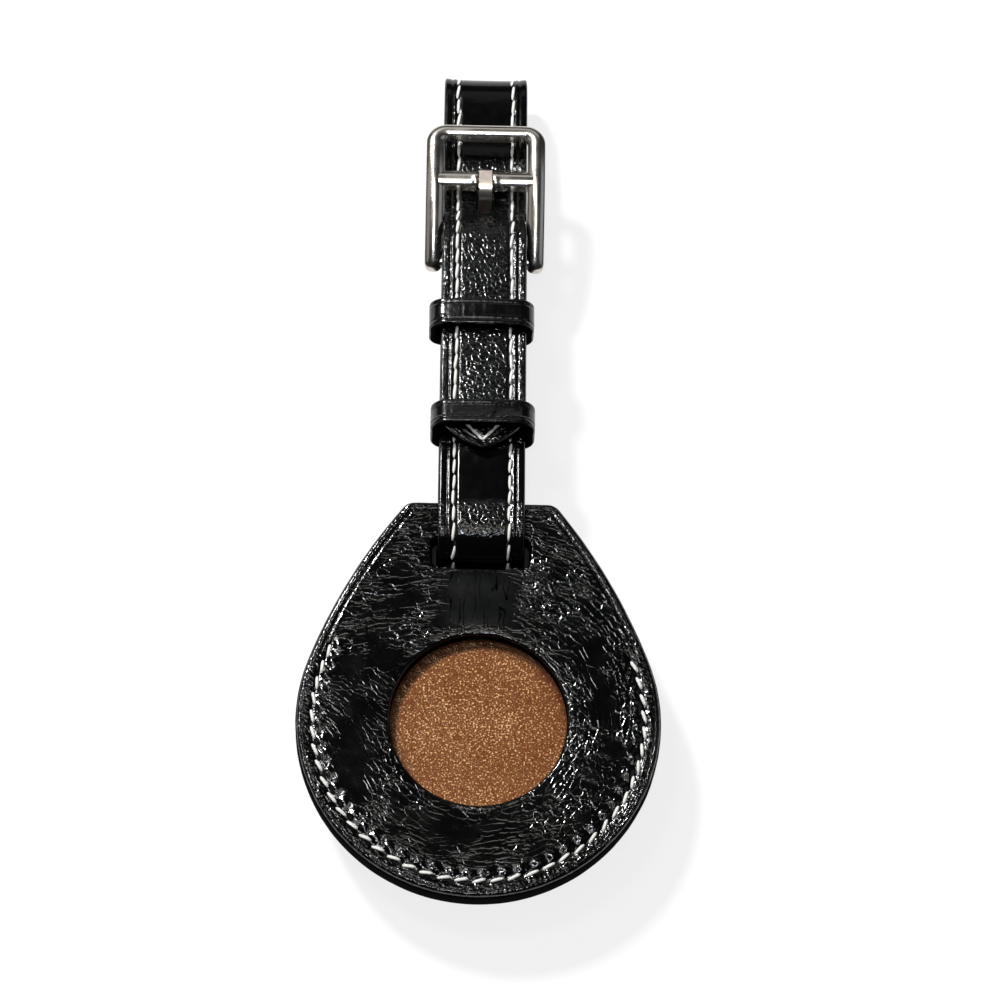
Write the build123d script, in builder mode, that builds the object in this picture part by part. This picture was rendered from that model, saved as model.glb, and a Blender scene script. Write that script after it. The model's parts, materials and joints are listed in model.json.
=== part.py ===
from build123d import *
import os
from math import acos, asin, atan2, cos, degrees, hypot, radians, sin, tan

# Bluetooth tracker tag: a coin-shaped tracker in a sewn leather pocket that hangs on a
# buckled leather strap.  Millimetres.  The tag lies on its back.  The origin is the centre
# of the round body on the resting plane, +X is to the right of the tag, +Y runs up the
# strap to its free loop, and +Z comes out of the front.

os.makedirs("parts", exist_ok=True)

# ---------------------------------------------------------------- driving dimensions
# Body leathers, from the front to the back
front_leather = 1.4
front_lining_leather = 1.0
facing_leather = 0.8
back_lining_leather = 0.7
back_leather = 1.1

# Body outline: a round lower edge, two long side arcs and a flat top edge
body_radius = 27.0
side_radius = 87.0
top_edge_y = 34.4
top_edge_width = 22.2
top_corner_radius = 2.0
window_radius = 13.25
cut_edge_rounding = 0.35

# Moulded dish at the back, which holds the tracker
dish_draft = 14.0
dish_corner_radius = 3.2
dish_flare_radius = 3.0
tracker_fit = 0.15

# Strap slot through all the body leathers, closer round the strap in the back ones
bridge_width = 5.7
slot_height = 4.8
slot_corner_radius = 1.3
slot_side_clearance = 1.0
back_slot_side_clearance = 0.3
slot_edge_clearance = 0.3

# Strap: outer leather over a narrow filler and a lining
strap_width = 12.8
strap_leather = 1.2
strap_lining_leather = 0.8
filler_thickness = 0.4
filler_width = 7.6
bridge_clearance = 1.0
layer_clearance = 0.1

# Places along the strap, measured from the bend that goes through the slot
tip_s = 10.8
tip_length = 4.6
tip_rounding = 1.2
tip_fullness_x = 0.28
tip_fullness_s = 0.44
sliding_keeper_s = 15.7
fixed_keeper_s = 33.2
buckle_bar_s = 45.4
fold_s = 74.2
turn_back_tab = 1.6
lining_gap_at_bar = 5.0
filler_gap_at_bar = 8.0
billet_bend_radius = 10.0
turn_back_bend_radius = 5.0

# Keepers
keeper_leather = 1.2
keeper_band = 4.4
sliding_keeper_band = 4.0
keeper_crown = 0.5
keeper_corner_radius = 2.4
keeper_bore_corner_radius = 0.4
fixed_keeper_play = 0.15
sliding_keeper_play = 0.35
sliding_keeper_lean = 6.0

# Buckle
buckle_side_play = 0.3
rail_width = 2.6
middle_bar_width = 2.6
top_bar_width = 1.9
bar_to_middle = 11.7
bar_to_top = 19.7
frame_depth = 2.8
bar_radius = 1.1
bar_clearance = 0.15
buckle_corner_radius = 3.6
buckle_inner_corner_radius = 1.3
frame_rounding = 0.9
frame_lift = 0.65
broad_face_slope = 45.0
crest_rise = 0.8

# Tongue
tongue_width = 2.0
tongue_thickness = 1.2
tongue_ring_wall = 0.9
tongue_bend_radius = 1.9
tongue_overhang = -0.1
tongue_shank_rise = -0.25
tongue_foot_from_hole = 0.7
tongue_shoulder_gap = 1.3
tongue_tip_rounding = 0.5
saddle_gap = 0.05
saddle_depth = 0.7
saddle_clearance = 0.15
tongue_slot_clearance = 0.6
hole_length = 5.0
hole_width = 2.9
hole_from_middle = 2.6

# Coin tracker
tracker_radius = 15.95
tracker_height = 8.0
shell_wall = 0.9
shell_edge_radius = 3.4
shell_foot = 0.7
shell_belly = 3.2
shell_belly_radius = 2.2
cover_inset = 3.05
cover_steel = 0.4
cover_depth = 1.6
cover_corner_radius = 1.0
running_clearance = 0.2
lug_count = 3
lug_width = 2.4
lug_reach = 0.55
lug_height = 0.45
cover_turn = 20.0
battery_inset = 2.9
battery_height = 3.2
battery_rim = 1.4
battery_step = 0.3
contact_steel = 0.15
contact_rise = 0.3
contact_length = 3.4
contact_flat = 1.1
contact_width = 1.6
contact_tip_inset = 1.0
contact_count = 3
tray_floor = 0.5
tray_wall = 0.6
tray_wall_low = 1.2
board_thickness = 0.8
board_hole_radius = 6.1
board_play = 0.3
magnet_radius = 4.6
magnet_height = 1.6
coil_gap = 0.3
coil_width = 0.7
coil_height = 1.8
chip_inset = 4.4
chip_height = 0.8
processor_side = 4.0
radio_length = 3.0
radio_width = 5.0
sensor_side = 2.5
processor_angle = 90.0
radio_angle = 200.0
sensor_angle = 325.0
antenna_width = 1.0
antenna_height = 0.5
gasket_height = 0.7

# ---------------------------------------------------------------- levels and places
# Heights of the body leathers
tracker_z = back_leather + back_lining_leather
facing_z = tracker_z + tracker_height + tracker_fit
front_lining_z = facing_z + facing_leather
front_panel_z = front_lining_z + front_lining_leather
front_z = front_panel_z + front_leather
back_lining_flange_z = facing_z - back_lining_leather
back_flange_z = back_lining_flange_z - back_leather
seam_thickness = front_z - back_flange_z

# The slot and the strap's bend round the bridge above it
slot_y = top_edge_y - bridge_width - slot_height / 2
slot_low_y = slot_y - slot_height / 2
loop_inner = seam_thickness / 2 + bridge_clearance
loop_line = loop_inner + strap_lining_leather
loop_outer = loop_line + strap_leather + filler_thickness
pivot_y = slot_low_y + slot_edge_clearance + loop_outer
pivot_z = (front_z + back_flange_z) / 2
strap_tilt = degrees(asin((pivot_z - loop_outer) / fold_s))

# Strap frame: +X of the side plane runs up the strap, +Y is the strap's own "up"
along = Vector(0, cos(radians(strap_tilt)), -sin(radians(strap_tilt)))
upward = Vector(0, sin(radians(strap_tilt)), cos(radians(strap_tilt)))
pivot = Vector(0, pivot_y, pivot_z)
strap_side = Plane(origin=pivot, x_dir=along, z_dir=(1, 0, 0))


def strap_top(level):
    """Plane parallel to the strap at a level above its middle, with +Y up the strap."""
    return Plane(origin=pivot + upward * level, x_dir=(1, 0, 0), z_dir=upward)


# Levels above the strap's middle plane.  A "line" is where outer leather meets lining.
front_layer_top = loop_line + strap_leather + filler_thickness
billet_bottom = front_layer_top + layer_clearance
billet_line = billet_bottom + strap_lining_leather
billet_top = billet_line + strap_leather + filler_thickness
wrap_radius = bar_radius + bar_clearance
bar_level = loop_line - wrap_radius
turn_back_line = bar_level - wrap_radius
billet_drop = billet_line - loop_line
billet_bend = degrees(acos(1 - billet_drop / (2 * billet_bend_radius)))
billet_bend_run = 2 * billet_bend_radius * sin(radians(billet_bend))
middle_bar_s = buckle_bar_s + bar_to_middle
top_bar_s = buckle_bar_s + bar_to_top
billet_bend_s = middle_bar_s - middle_bar_width / 2 - billet_bend_run
turn_back_rise = loop_inner - layer_clearance - turn_back_line
turn_back_bend = degrees(acos(1 - turn_back_rise / (2 * turn_back_bend_radius)))
turn_back_s = fixed_keeper_s - keeper_band / 2 - layer_clearance
turn_back_bend_run = 2 * turn_back_bend_radius * sin(radians(turn_back_bend))
turn_back_end_s = turn_back_s - turn_back_bend_run - turn_back_tab


# ---------------------------------------------------------------- body outline
# The side arc leaves the round lower edge tangentially, so its centre lies beyond the
# body's centre on the same radius.
corner_reach = hypot(top_edge_width / 2, top_edge_y)
corner_direction = degrees(atan2(top_edge_y, top_edge_width / 2))
straight_down = degrees(atan2(-body_radius, 0))
side_offset = side_radius - body_radius
side_swing = (side_radius**2 - corner_reach**2 - side_offset**2) / (2 * side_offset * corner_reach)
side_start = corner_direction - degrees(acos(side_swing))
side_center = Vector(-side_offset, 0).rotate(Axis.Z, side_start)
side_end = degrees(atan2(top_edge_y - side_center.Y, top_edge_width / 2 - side_center.X))

with BuildSketch() as body_outline:
    with BuildLine():
        CenterArc((0, 0), body_radius, straight_down, side_start - straight_down)
        side = CenterArc(side_center, side_radius, side_start, side_end - side_start)
        Line(side @ 1, (0, top_edge_y))
        mirror(about=Plane.YZ)
    make_face()
    fillet(body_outline.vertices().group_by(Axis.Y)[-1], radius=top_corner_radius)


def sheet_profile(opening_radius=0.0, side_clearance=slot_side_clearance):
    """One leather layer of the body, with the strap slot and a round opening if it has one."""
    slot_width = strap_width + 2 * side_clearance
    with BuildSketch() as profile:
        add(body_outline.sketch)
        with Locations((0, slot_y)):
            RectangleRounded(slot_width, slot_height, slot_corner_radius, mode=Mode.SUBTRACT)
        if opening_radius:
            Circle(opening_radius, mode=Mode.SUBTRACT)
    return profile.sketch


with BuildPart() as front_panel:
    with BuildSketch(Plane.XY.offset(front_panel_z)):
        add(sheet_profile(window_radius))
    extrude(amount=front_leather)
    front_face = front_panel.faces().sort_by(Axis.Z)[-1]
    fillet(front_face.edges(), radius=cut_edge_rounding)
front_panel.part.label = "front_panel"
export_step(front_panel.part, "parts/front_panel.step")

with BuildPart() as front_lining:
    with BuildSketch(Plane.XY.offset(front_lining_z)):
        add(sheet_profile(window_radius))
    extrude(amount=front_lining_leather)
front_lining.part.label = "front_lining"
export_step(front_lining.part, "parts/front_lining.step")

with BuildPart() as pocket_facing:
    with BuildSketch(Plane.XY.offset(facing_z)):
        add(sheet_profile())
    extrude(amount=facing_leather)
pocket_facing.part.label = "pocket_facing"
export_step(pocket_facing.part, "parts/pocket_facing.step")

# ---------------------------------------------------------------- moulded back
# Every surface of the dish is a parallel of the tracker's cavity, so the bend radii grow
# by the depth below the cavity at the corner and shrink by it at the flare.
dish_wall_radius = tracker_radius + tracker_fit
dish_slope = tan(radians(dish_draft))
dish_spread = tan(radians(45 - dish_draft / 2))
dish_foot_radius = dish_wall_radius - dish_corner_radius * dish_slope
dish_rim_radius = dish_foot_radius + (tracker_height + tracker_fit) * dish_slope
dish_join_radius = dish_rim_radius + dish_flare_radius


def dish_line(depth):
    """Half profile of the dish at a depth below the tracker's cavity."""
    foot = (dish_foot_radius + depth * dish_spread, tracker_z - depth)
    rim = (dish_rim_radius + depth * dish_spread, facing_z - depth)
    with BuildLine() as line:
        FilletPolyline(
            (0, tracker_z - depth),
            foot,
            rim,
            (dish_join_radius, facing_z - depth),
            radius=[dish_corner_radius + depth, dish_flare_radius - depth],
        )
    return line.line


def moulded_back(depth, leather):
    """A leather layer of the back: its flange, and the dish that is moulded in it."""
    with BuildPart() as layer:
        with BuildSketch(Plane.XY.offset(facing_z - depth - leather)):
            add(sheet_profile(dish_join_radius, back_slot_side_clearance))
        extrude(amount=leather)
        with BuildSketch(Plane.XZ):
            with BuildLine():
                add(dish_line(depth))
                add(dish_line(depth + leather))
                Line((0, tracker_z - depth), (0, tracker_z - depth - leather))
                Line(
                    (dish_join_radius, facing_z - depth),
                    (dish_join_radius, facing_z - depth - leather),
                )
            make_face()
        revolve(axis=Axis.Z)
    return layer


back_lining = moulded_back(0, back_lining_leather)
back_lining.part.label = "back_lining"
export_step(back_lining.part, "parts/back_lining.step")

back_panel = moulded_back(back_lining_leather, back_leather)
back_panel.part.label = "back_panel"
export_step(back_panel.part, "parts/back_panel.step")


# ---------------------------------------------------------------- strap
def strap_line(outward, first_s, last_s=None):
    """The strap's run from its tip over the fold and round the bridge to the buckle bar.

    "outward" is the distance from the line between outer leather and lining.  The run
    starts at first_s on the billet.  It ends at last_s on the front layer, or goes round
    the buckle bar and ends as the turn-back.  Returns the run and its two end points.
    """
    with BuildLine() as run:
        start = Line((first_s, billet_line + outward), (billet_bend_s, billet_line + outward))
        dip = JernArc(start @ 1, start % 1, billet_bend_radius + outward, -billet_bend)
        level = JernArc(dip @ 1, dip % 1, billet_bend_radius - outward, billet_bend)
        upper = Line(level @ 1, (fold_s, loop_line + outward))
        fold = JernArc(upper @ 1, upper % 1, loop_line + outward, -180)
        back = Line(fold @ 1, (0, -loop_line - outward))
        bend = JernArc(back @ 1, back % 1, loop_line + outward, -180)
        if last_s:
            finish = Line(bend @ 1, (last_s, loop_line + outward))
        else:
            front = Line(bend @ 1, (buckle_bar_s, loop_line + outward))
            wrap = JernArc(front @ 1, front % 1, wrap_radius + outward, -180)
            under = Line(wrap @ 1, (turn_back_s, turn_back_line - outward))
            rise = JernArc(under @ 1, under % 1, turn_back_bend_radius + outward, -turn_back_bend)
            seat = JernArc(rise @ 1, rise % 1, turn_back_bend_radius - outward, turn_back_bend)
            finish = Line(seat @ 1, (turn_back_end_s, (seat @ 1).Y))
    return run.line, start @ 0, finish @ 1


def strap_layer(inner, outer, width, first_s, last_s=None):
    """A layer of the strap between two distances outward of its line, as a solid."""
    near, near_start, near_finish = strap_line(inner, first_s, last_s)
    far, far_start, far_finish = strap_line(outer, first_s, last_s)
    with BuildPart() as layer:
        with BuildSketch(strap_side):
            with BuildLine():
                add(near)
                add(far)
                Line(near_start, far_start)
                Line(near_finish, far_finish)
            make_face()
        extrude(amount=width / 2, both=True)
    return layer.part


with BuildSketch() as tip_outline:
    with BuildLine():
        tip_side = ThreePointArc(
            (0, tip_s),
            (strap_width * tip_fullness_x, tip_s + tip_length * tip_fullness_s),
            (strap_width / 2, tip_s + tip_length),
        )
        Line(tip_side @ 1, (0, tip_s + tip_length))
        mirror(about=Plane.YZ)
    make_face()
    fillet(tip_outline.vertices().sort_by(Axis.Y)[0], radius=tip_rounding)


def billet_tip_trim():
    """What the pointed tip leaves of a square strap end, above the front layer."""
    with BuildPart() as trim:
        with BuildSketch(strap_top(billet_bottom - layer_clearance / 2)):
            with Locations((0, tip_s + tip_length - strap_width / 2)):
                Rectangle(2 * strap_width, strap_width)
            add(tip_outline.sketch, mode=Mode.SUBTRACT)
        extrude(amount=billet_top - billet_bottom + 2 * layer_clearance)
    return trim.part


filler_end_s = buckle_bar_s - filler_gap_at_bar
lining_end_s = buckle_bar_s - lining_gap_at_bar
filler_tip_s = tip_s + tip_length
hole_s = middle_bar_s - hole_from_middle
tongue_slot_width = tongue_width + 2 * tongue_slot_clearance


def strap_cuts():
    """The tongue's oval hole in the billet and its slot in the wrap round the bar."""
    with BuildPart() as cuts:
        with BuildSketch(strap_top(loop_inner - strap_leather)):
            with Locations((0, hole_s)):
                SlotOverall(hole_length, hole_width, rotation=90)
        extrude(amount=billet_top - loop_inner + 2 * strap_leather)
        slot_end = buckle_bar_s + wrap_radius + strap_leather
        with BuildSketch(strap_side):
            with Locations(((lining_end_s + slot_end) / 2, (turn_back_line + loop_line) / 2)):
                Rectangle(
                    slot_end - lining_end_s + layer_clearance,
                    2 * (wrap_radius + strap_leather) + layer_clearance,
                )
        extrude(amount=tongue_slot_width / 2, both=True)
    return cuts.part


with BuildPart() as strap_filler:
    add(strap_layer(0, filler_thickness, filler_width, filler_tip_s, filler_end_s))
    add(strap_cuts(), mode=Mode.SUBTRACT)
strap_filler.part.label = "strap_filler"
export_step(strap_filler.part, "parts/strap_filler.step")

crown_width = filler_width + 2 * filler_thickness
with BuildPart() as strap_outer:
    add(strap_layer(0, strap_leather, strap_width, tip_s))
    add(
        strap_layer(
            strap_leather / 2,
            strap_leather + filler_thickness,
            crown_width,
            filler_tip_s - filler_thickness,
            filler_end_s + filler_thickness,
        )
    )
    add(
        strap_layer(0, filler_thickness, filler_width, filler_tip_s, filler_end_s),
        mode=Mode.SUBTRACT,
    )
    add(billet_tip_trim(), mode=Mode.SUBTRACT)
    add(strap_cuts(), mode=Mode.SUBTRACT)
strap_outer.part.label = "strap_outer"
export_step(strap_outer.part, "parts/strap_outer.step")

with BuildPart() as strap_lining:
    add(strap_layer(-strap_lining_leather, 0, strap_width, tip_s, lining_end_s))
    add(billet_tip_trim(), mode=Mode.SUBTRACT)
    add(strap_cuts(), mode=Mode.SUBTRACT)
strap_lining.part.label = "strap_lining"
export_step(strap_lining.part, "parts/strap_lining.step")


# ---------------------------------------------------------------- keepers
def rounded(sketch, radius):
    """The sketch with all its corners rounded."""
    with BuildSketch() as rounded_sketch:
        add(sketch)
        fillet(rounded_sketch.vertices(), radius=radius)
    return rounded_sketch.sketch


def keeper(center_s, band, play, lean):
    """A leather loop round the strap, with a crowned top, that may lean up the strap."""
    inner_low = loop_inner - play
    inner_high = billet_top + play
    half = strap_width / 2 + play
    rise = (inner_high - inner_low) / 2
    section_plane = Plane(
        origin=pivot + along * center_s + upward * (inner_low + rise),
        x_dir=(1, 0, 0),
        z_dir=-along.rotate(Axis.X, -lean),
    )
    with BuildSketch() as bore:
        with BuildLine():
            ThreePointArc((-half, rise), (0, rise + keeper_crown), (half, rise))
            Polyline((half, rise), (half, -rise), (-half, -rise), (-half, rise))
        make_face()
    with BuildSketch() as section:
        add(bore.sketch)
        offset(amount=keeper_leather, kind=Kind.INTERSECTION)
        fillet(section.vertices(), radius=keeper_corner_radius)
        add(rounded(bore.sketch, keeper_bore_corner_radius), mode=Mode.SUBTRACT)
    with BuildPart() as loop:
        with BuildSketch(section_plane):
            add(section.sketch)
        extrude(amount=band / 2, both=True)
        cut_faces = loop.faces().filter_by(Axis(section_plane.origin, section_plane.z_dir))
        fillet(cut_faces.edges(), radius=cut_edge_rounding)
    return loop


fixed_keeper = keeper(fixed_keeper_s, keeper_band, fixed_keeper_play, 0)
fixed_keeper.part.label = "fixed_keeper"
export_step(fixed_keeper.part, "parts/fixed_keeper.step")

sliding_keeper = keeper(
    sliding_keeper_s,
    sliding_keeper_band,
    sliding_keeper_play,
    sliding_keeper_lean,
)
sliding_keeper.part.label = "sliding_keeper"
export_step(sliding_keeper.part, "parts/sliding_keeper.step")

# ---------------------------------------------------------------- buckle frame
# Seen from the side the frame is an arch from the bar in the strap's wrap to the top bar.
buckle_width = strap_width + 2 * (buckle_side_play + rail_width)
middle_bar_level = loop_outer + frame_lift + frame_depth / 2
top_bar_level = middle_bar_level + crest_rise
frame_end_s = top_bar_s + top_bar_width / 2
middle_low_s = middle_bar_s - middle_bar_width / 2
window_low_s = middle_bar_s + middle_bar_width / 2
window_high_s = top_bar_s - top_bar_width / 2
frame_low_s = buckle_bar_s - frame_depth / 2
opening_width = buckle_width - 2 * rail_width

with BuildSketch() as frame_plan:
    with Locations((0, (frame_low_s + frame_end_s) / 2)):
        Rectangle(buckle_width, frame_end_s - frame_low_s)
    fillet(frame_plan.vertices().group_by(Axis.Y)[-1], radius=buckle_corner_radius)
    with Locations((0, (frame_low_s + middle_low_s - frame_depth) / 2)):
        Rectangle(opening_width, middle_low_s - frame_low_s + frame_depth, mode=Mode.SUBTRACT)
    with Locations((0, (window_low_s + window_high_s) / 2)):
        RectangleRounded(
            opening_width,
            window_high_s - window_low_s,
            buckle_inner_corner_radius,
            mode=Mode.SUBTRACT,
        )


def faces_up_or_down(face):
    """Whether a face of the frame looks mostly along the strap's up direction."""
    return abs(face.normal_at().dot(upward)) > cos(radians(broad_face_slope))


with BuildPart() as frame_arch:
    with BuildSketch(strap_side):
        with BuildLine():
            ThreePointArc(
                (buckle_bar_s, bar_level),
                (middle_bar_s, middle_bar_level),
                (frame_end_s + frame_depth / 2, top_bar_level),
            )
        trace(line_width=frame_depth)
        with Locations((buckle_bar_s, bar_level)):
            Circle(frame_depth / 2)
    extrude(amount=buckle_width / 2, both=True)

with BuildPart() as buckle_frame:
    with BuildSketch(strap_top(bar_level - frame_depth)):
        add(frame_plan.sketch)
    extrude(amount=top_bar_level - bar_level + 2 * frame_depth)
    add(frame_arch.part, mode=Mode.INTERSECT)
    broad_faces = buckle_frame.faces().filter_by(faces_up_or_down)
    fillet(broad_faces.edges(), radius=frame_rounding)
    with BuildSketch(strap_side):
        with Locations((buckle_bar_s, bar_level)):
            Circle(bar_radius)
    extrude(amount=(buckle_width - rail_width) / 2, both=True)
    with BuildSketch(strap_top(middle_bar_level + frame_depth / 2 - saddle_depth)):
        with Locations((0, middle_bar_s)):
            Rectangle(tongue_width + 2 * saddle_clearance, 2 * middle_bar_width)
    extrude(amount=2 * frame_depth, mode=Mode.SUBTRACT)
buckle_frame.part.label = "buckle_frame"
export_step(buckle_frame.part, "parts/buckle_frame.step")

# ---------------------------------------------------------------- buckle tongue
# Its ring turns on the buckle bar in the slot of the strap's wrap.  The shank lies under
# the billet, climbs through the oval hole and rests in the saddle of the middle bar.
tongue_ring_radius = wrap_radius + tongue_ring_wall
shank_level = bar_level + tongue_shank_rise
head_level = middle_bar_level + frame_depth / 2 - saddle_depth + saddle_gap + tongue_thickness / 2
tongue_foot_s = hole_s - tongue_foot_from_hole
tongue_shoulder_s = middle_low_s - tongue_shoulder_gap
tongue_tip_s = window_low_s + tongue_overhang

with BuildPart() as buckle_tongue:
    with BuildSketch(strap_side):
        with BuildLine():
            FilletPolyline(
                (buckle_bar_s, shank_level),
                (tongue_foot_s, shank_level),
                (tongue_shoulder_s, head_level),
                (tongue_tip_s, head_level),
                radius=tongue_bend_radius,
            )
        trace(line_width=tongue_thickness)
        with Locations((buckle_bar_s, bar_level)):
            Circle(tongue_ring_radius)
            Circle(wrap_radius, mode=Mode.SUBTRACT)
    extrude(amount=tongue_width / 2, both=True)
    tip_edges = buckle_tongue.edges().filter_by(lambda edge: edge.center().Y > 0)
    tip_edges = tip_edges.sort_by(Axis(pivot, along))[-1:]
    fillet(tip_edges, radius=tongue_tip_rounding)
buckle_tongue.part.label = "buckle_tongue"
export_step(buckle_tongue.part, "parts/buckle_tongue.step")


# ---------------------------------------------------------------- coin tracker
# All its pieces turn about the body's axis.  Heights are measured from the cover's floor.
def ring(inner, outer, low, high):
    """A plain ring, or a disc when the inner radius is zero."""
    with BuildPart() as piece:
        with BuildSketch(Plane.XY.offset(tracker_z + low)):
            Circle(outer)
            if inner:
                Circle(inner, mode=Mode.SUBTRACT)
        extrude(amount=high - low)
    return piece.part


def ring_sector(inner, outer, start, sweep):
    """Part of a flat ring, from a start angle over a sweep, in degrees."""
    with BuildSketch() as sector:
        with BuildLine():
            far = CenterArc((0, 0), outer, start, sweep)
            near = CenterArc((0, 0), inner, start, sweep)
            Line(far @ 0, near @ 0)
            Line(far @ 1, near @ 1)
        make_face()
    return sector.sketch


cover_radius = tracker_radius - cover_inset
battery_radius = cover_radius - battery_inset
battery_step_radius = battery_radius - battery_rim
bayonet_radius = cover_radius + running_clearance
channel_radius = bayonet_radius + lug_reach
tray_radius = channel_radius + tray_wall
shell_bore = tray_radius + layer_clearance / 2
shell_inner_top = tracker_height - shell_wall
battery_top = cover_steel + battery_height
tray_low = battery_top + contact_rise
tray_high = tray_low + tray_floor
board_top = tray_high + board_thickness
lug_low = cover_depth - lug_height
lug_sweep = degrees(lug_width / cover_radius)
entry_sweep = lug_sweep + degrees(2 * running_clearance / cover_radius)

with BuildPart() as tracker_cover:
    with BuildSketch(Plane.XZ):
        with BuildLine():
            FilletPolyline(
                (0, tracker_z),
                (cover_radius, tracker_z),
                (cover_radius, tracker_z + cover_depth),
                radius=cover_corner_radius,
            )
            FilletPolyline(
                (0, tracker_z + cover_steel),
                (cover_radius - cover_steel, tracker_z + cover_steel),
                (cover_radius - cover_steel, tracker_z + cover_depth),
                radius=cover_corner_radius - cover_steel,
            )
            Line((0, tracker_z), (0, tracker_z + cover_steel))
            Line(
                (cover_radius - cover_steel, tracker_z + cover_depth),
                (cover_radius, tracker_z + cover_depth),
            )
        make_face()
    revolve(axis=Axis.Z)
    with BuildSketch(Plane.XY.offset(tracker_z + lug_low)):
        with PolarLocations(0, lug_count):
            add(
                ring_sector(
                    cover_radius - cover_steel,
                    channel_radius - layer_clearance,
                    -lug_sweep / 2,
                    lug_sweep,
                )
            )
    extrude(amount=lug_height)
tracker_cover.part.label = "tracker_cover"
export_step(tracker_cover.part, "parts/tracker_cover.step")

with BuildPart() as tracker_shell:
    with BuildSketch(Plane.XZ):
        with BuildLine():
            FilletPolyline(
                (shell_bore, tracker_z + shell_foot),
                (shell_bore + shell_wall / 2, tracker_z + shell_foot),
                (tracker_radius, tracker_z + shell_belly),
                (tracker_radius, tracker_z + tracker_height),
                (0, tracker_z + tracker_height),
                radius=[0, shell_belly_radius, shell_edge_radius],
            )
            FilletPolyline(
                (shell_bore, tracker_z + shell_foot),
                (shell_bore, tracker_z + shell_inner_top),
                (0, tracker_z + shell_inner_top),
                radius=shell_edge_radius - shell_wall,
            )
            Line((0, tracker_z + shell_inner_top), (0, tracker_z + tracker_height))
        make_face()
    revolve(axis=Axis.Z)
tracker_shell.part.label = "tracker_shell"
export_step(tracker_shell.part, "parts/tracker_shell.step")

channel_sweep = cover_turn + entry_sweep
battery_pocket = battery_radius + running_clearance
skirt_radius = cover_radius - cover_corner_radius
with BuildPart() as battery_tray:
    add(ring(0, tray_radius, tray_low, tray_high))
    add(ring(bayonet_radius, tray_radius, shell_foot, tray_low))
    add(ring(battery_pocket, battery_pocket + tray_wall, tray_wall_low, tray_low))
    add(ring(skirt_radius - tray_wall, skirt_radius, cover_steel + gasket_height, tray_low))
    with BuildSketch(Plane.XY.offset(tracker_z + lug_low - layer_clearance)):
        with PolarLocations(0, lug_count):
            add(
                ring_sector(
                    bayonet_radius - layer_clearance,
                    channel_radius,
                    -cover_turn - entry_sweep / 2,
                    channel_sweep,
                )
            )
    extrude(amount=lug_height + 2 * layer_clearance, mode=Mode.SUBTRACT)
    with BuildSketch(Plane.XY.offset(tracker_z + shell_foot)):
        with PolarLocations(0, lug_count):
            add(
                ring_sector(
                    bayonet_radius - layer_clearance,
                    channel_radius,
                    -cover_turn - entry_sweep / 2,
                    entry_sweep,
                )
            )
    extrude(amount=lug_low - shell_foot, mode=Mode.SUBTRACT)
battery_tray.part.label = "battery_tray"
export_step(battery_tray.part, "parts/battery_tray.step")

with BuildPart() as cover_gasket:
    add(ring(skirt_radius - tray_wall, skirt_radius, cover_steel, cover_steel + gasket_height))
cover_gasket.part.label = "cover_gasket"
export_step(cover_gasket.part, "parts/cover_gasket.step")

with BuildPart() as coin_battery:
    add(ring(0, battery_radius, cover_steel, battery_top - battery_step))
    fillet(coin_battery.edges(), radius=battery_step)
    add(ring(0, battery_step_radius, battery_top - 2 * battery_step, battery_top))
coin_battery.part.label = "coin_battery"
export_step(coin_battery.part, "parts/coin_battery.step")

# One leaf spring: its foot is fixed under the tray's floor, its tip presses on the battery.
contact_foot = battery_step_radius - contact_tip_inset - contact_length
leaf_high = tracker_z + tray_low
leaf_low = tracker_z + battery_top
with BuildPart() as contact_leaf:
    with BuildSketch(Plane.XZ):
        with BuildLine():
            Polyline(
                (contact_foot, leaf_high),
                (contact_foot + contact_flat, leaf_high),
                (contact_foot + contact_length, leaf_low + contact_steel),
                (contact_foot + contact_length, leaf_low),
                (contact_foot + contact_flat, leaf_high - contact_steel),
                (contact_foot, leaf_high - contact_steel),
                close=True,
            )
        make_face()
    extrude(amount=contact_width / 2, both=True)

with BuildPart() as battery_contacts:
    with PolarLocations(0, contact_count):
        add(contact_leaf.part)
battery_contacts.part.label = "battery_contacts"
export_step(battery_contacts.part, "parts/battery_contacts.step")

board_radius = shell_bore - board_play
with BuildPart() as circuit_board:
    add(ring(board_hole_radius, board_radius, tray_high, board_top))
circuit_board.part.label = "circuit_board"
export_step(circuit_board.part, "parts/circuit_board.step")

chip_circle = board_radius - chip_inset
chips = (
    (processor_angle, processor_side, processor_side),
    (radio_angle, radio_length, radio_width),
    (sensor_angle, sensor_side, sensor_side),
)
with BuildPart() as board_chips:
    with BuildSketch(Plane.XY.offset(tracker_z + board_top)):
        for angle, length, width in chips:
            with Locations(Vector(chip_circle, 0).rotate(Axis.Z, angle)):
                Rectangle(length, width, rotation=angle)
    extrude(amount=chip_height)
board_chips.part.label = "board_chips"
export_step(board_chips.part, "parts/board_chips.step")

with BuildPart() as antenna_ring:
    add(ring(board_radius - antenna_width, board_radius, board_top, board_top + antenna_height))
antenna_ring.part.label = "antenna_ring"
export_step(antenna_ring.part, "parts/antenna_ring.step")

with BuildPart() as speaker_magnet:
    add(ring(0, magnet_radius, tray_high, tray_high + magnet_height))
speaker_magnet.part.label = "speaker_magnet"
export_step(speaker_magnet.part, "parts/speaker_magnet.step")

coil_radius = magnet_radius + coil_gap
with BuildPart() as voice_coil:
    add(ring(coil_radius, coil_radius + coil_width, shell_inner_top - coil_height, shell_inner_top))
voice_coil.part.label = "voice_coil"
export_step(voice_coil.part, "parts/voice_coil.step")
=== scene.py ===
import json
from math import acos, cos, pi, radians, sin

import bmesh
import bpy
import numpy as np
from mathutils import Matrix, Vector
from mathutils.geometry import delaunay_2d_cdt


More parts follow.
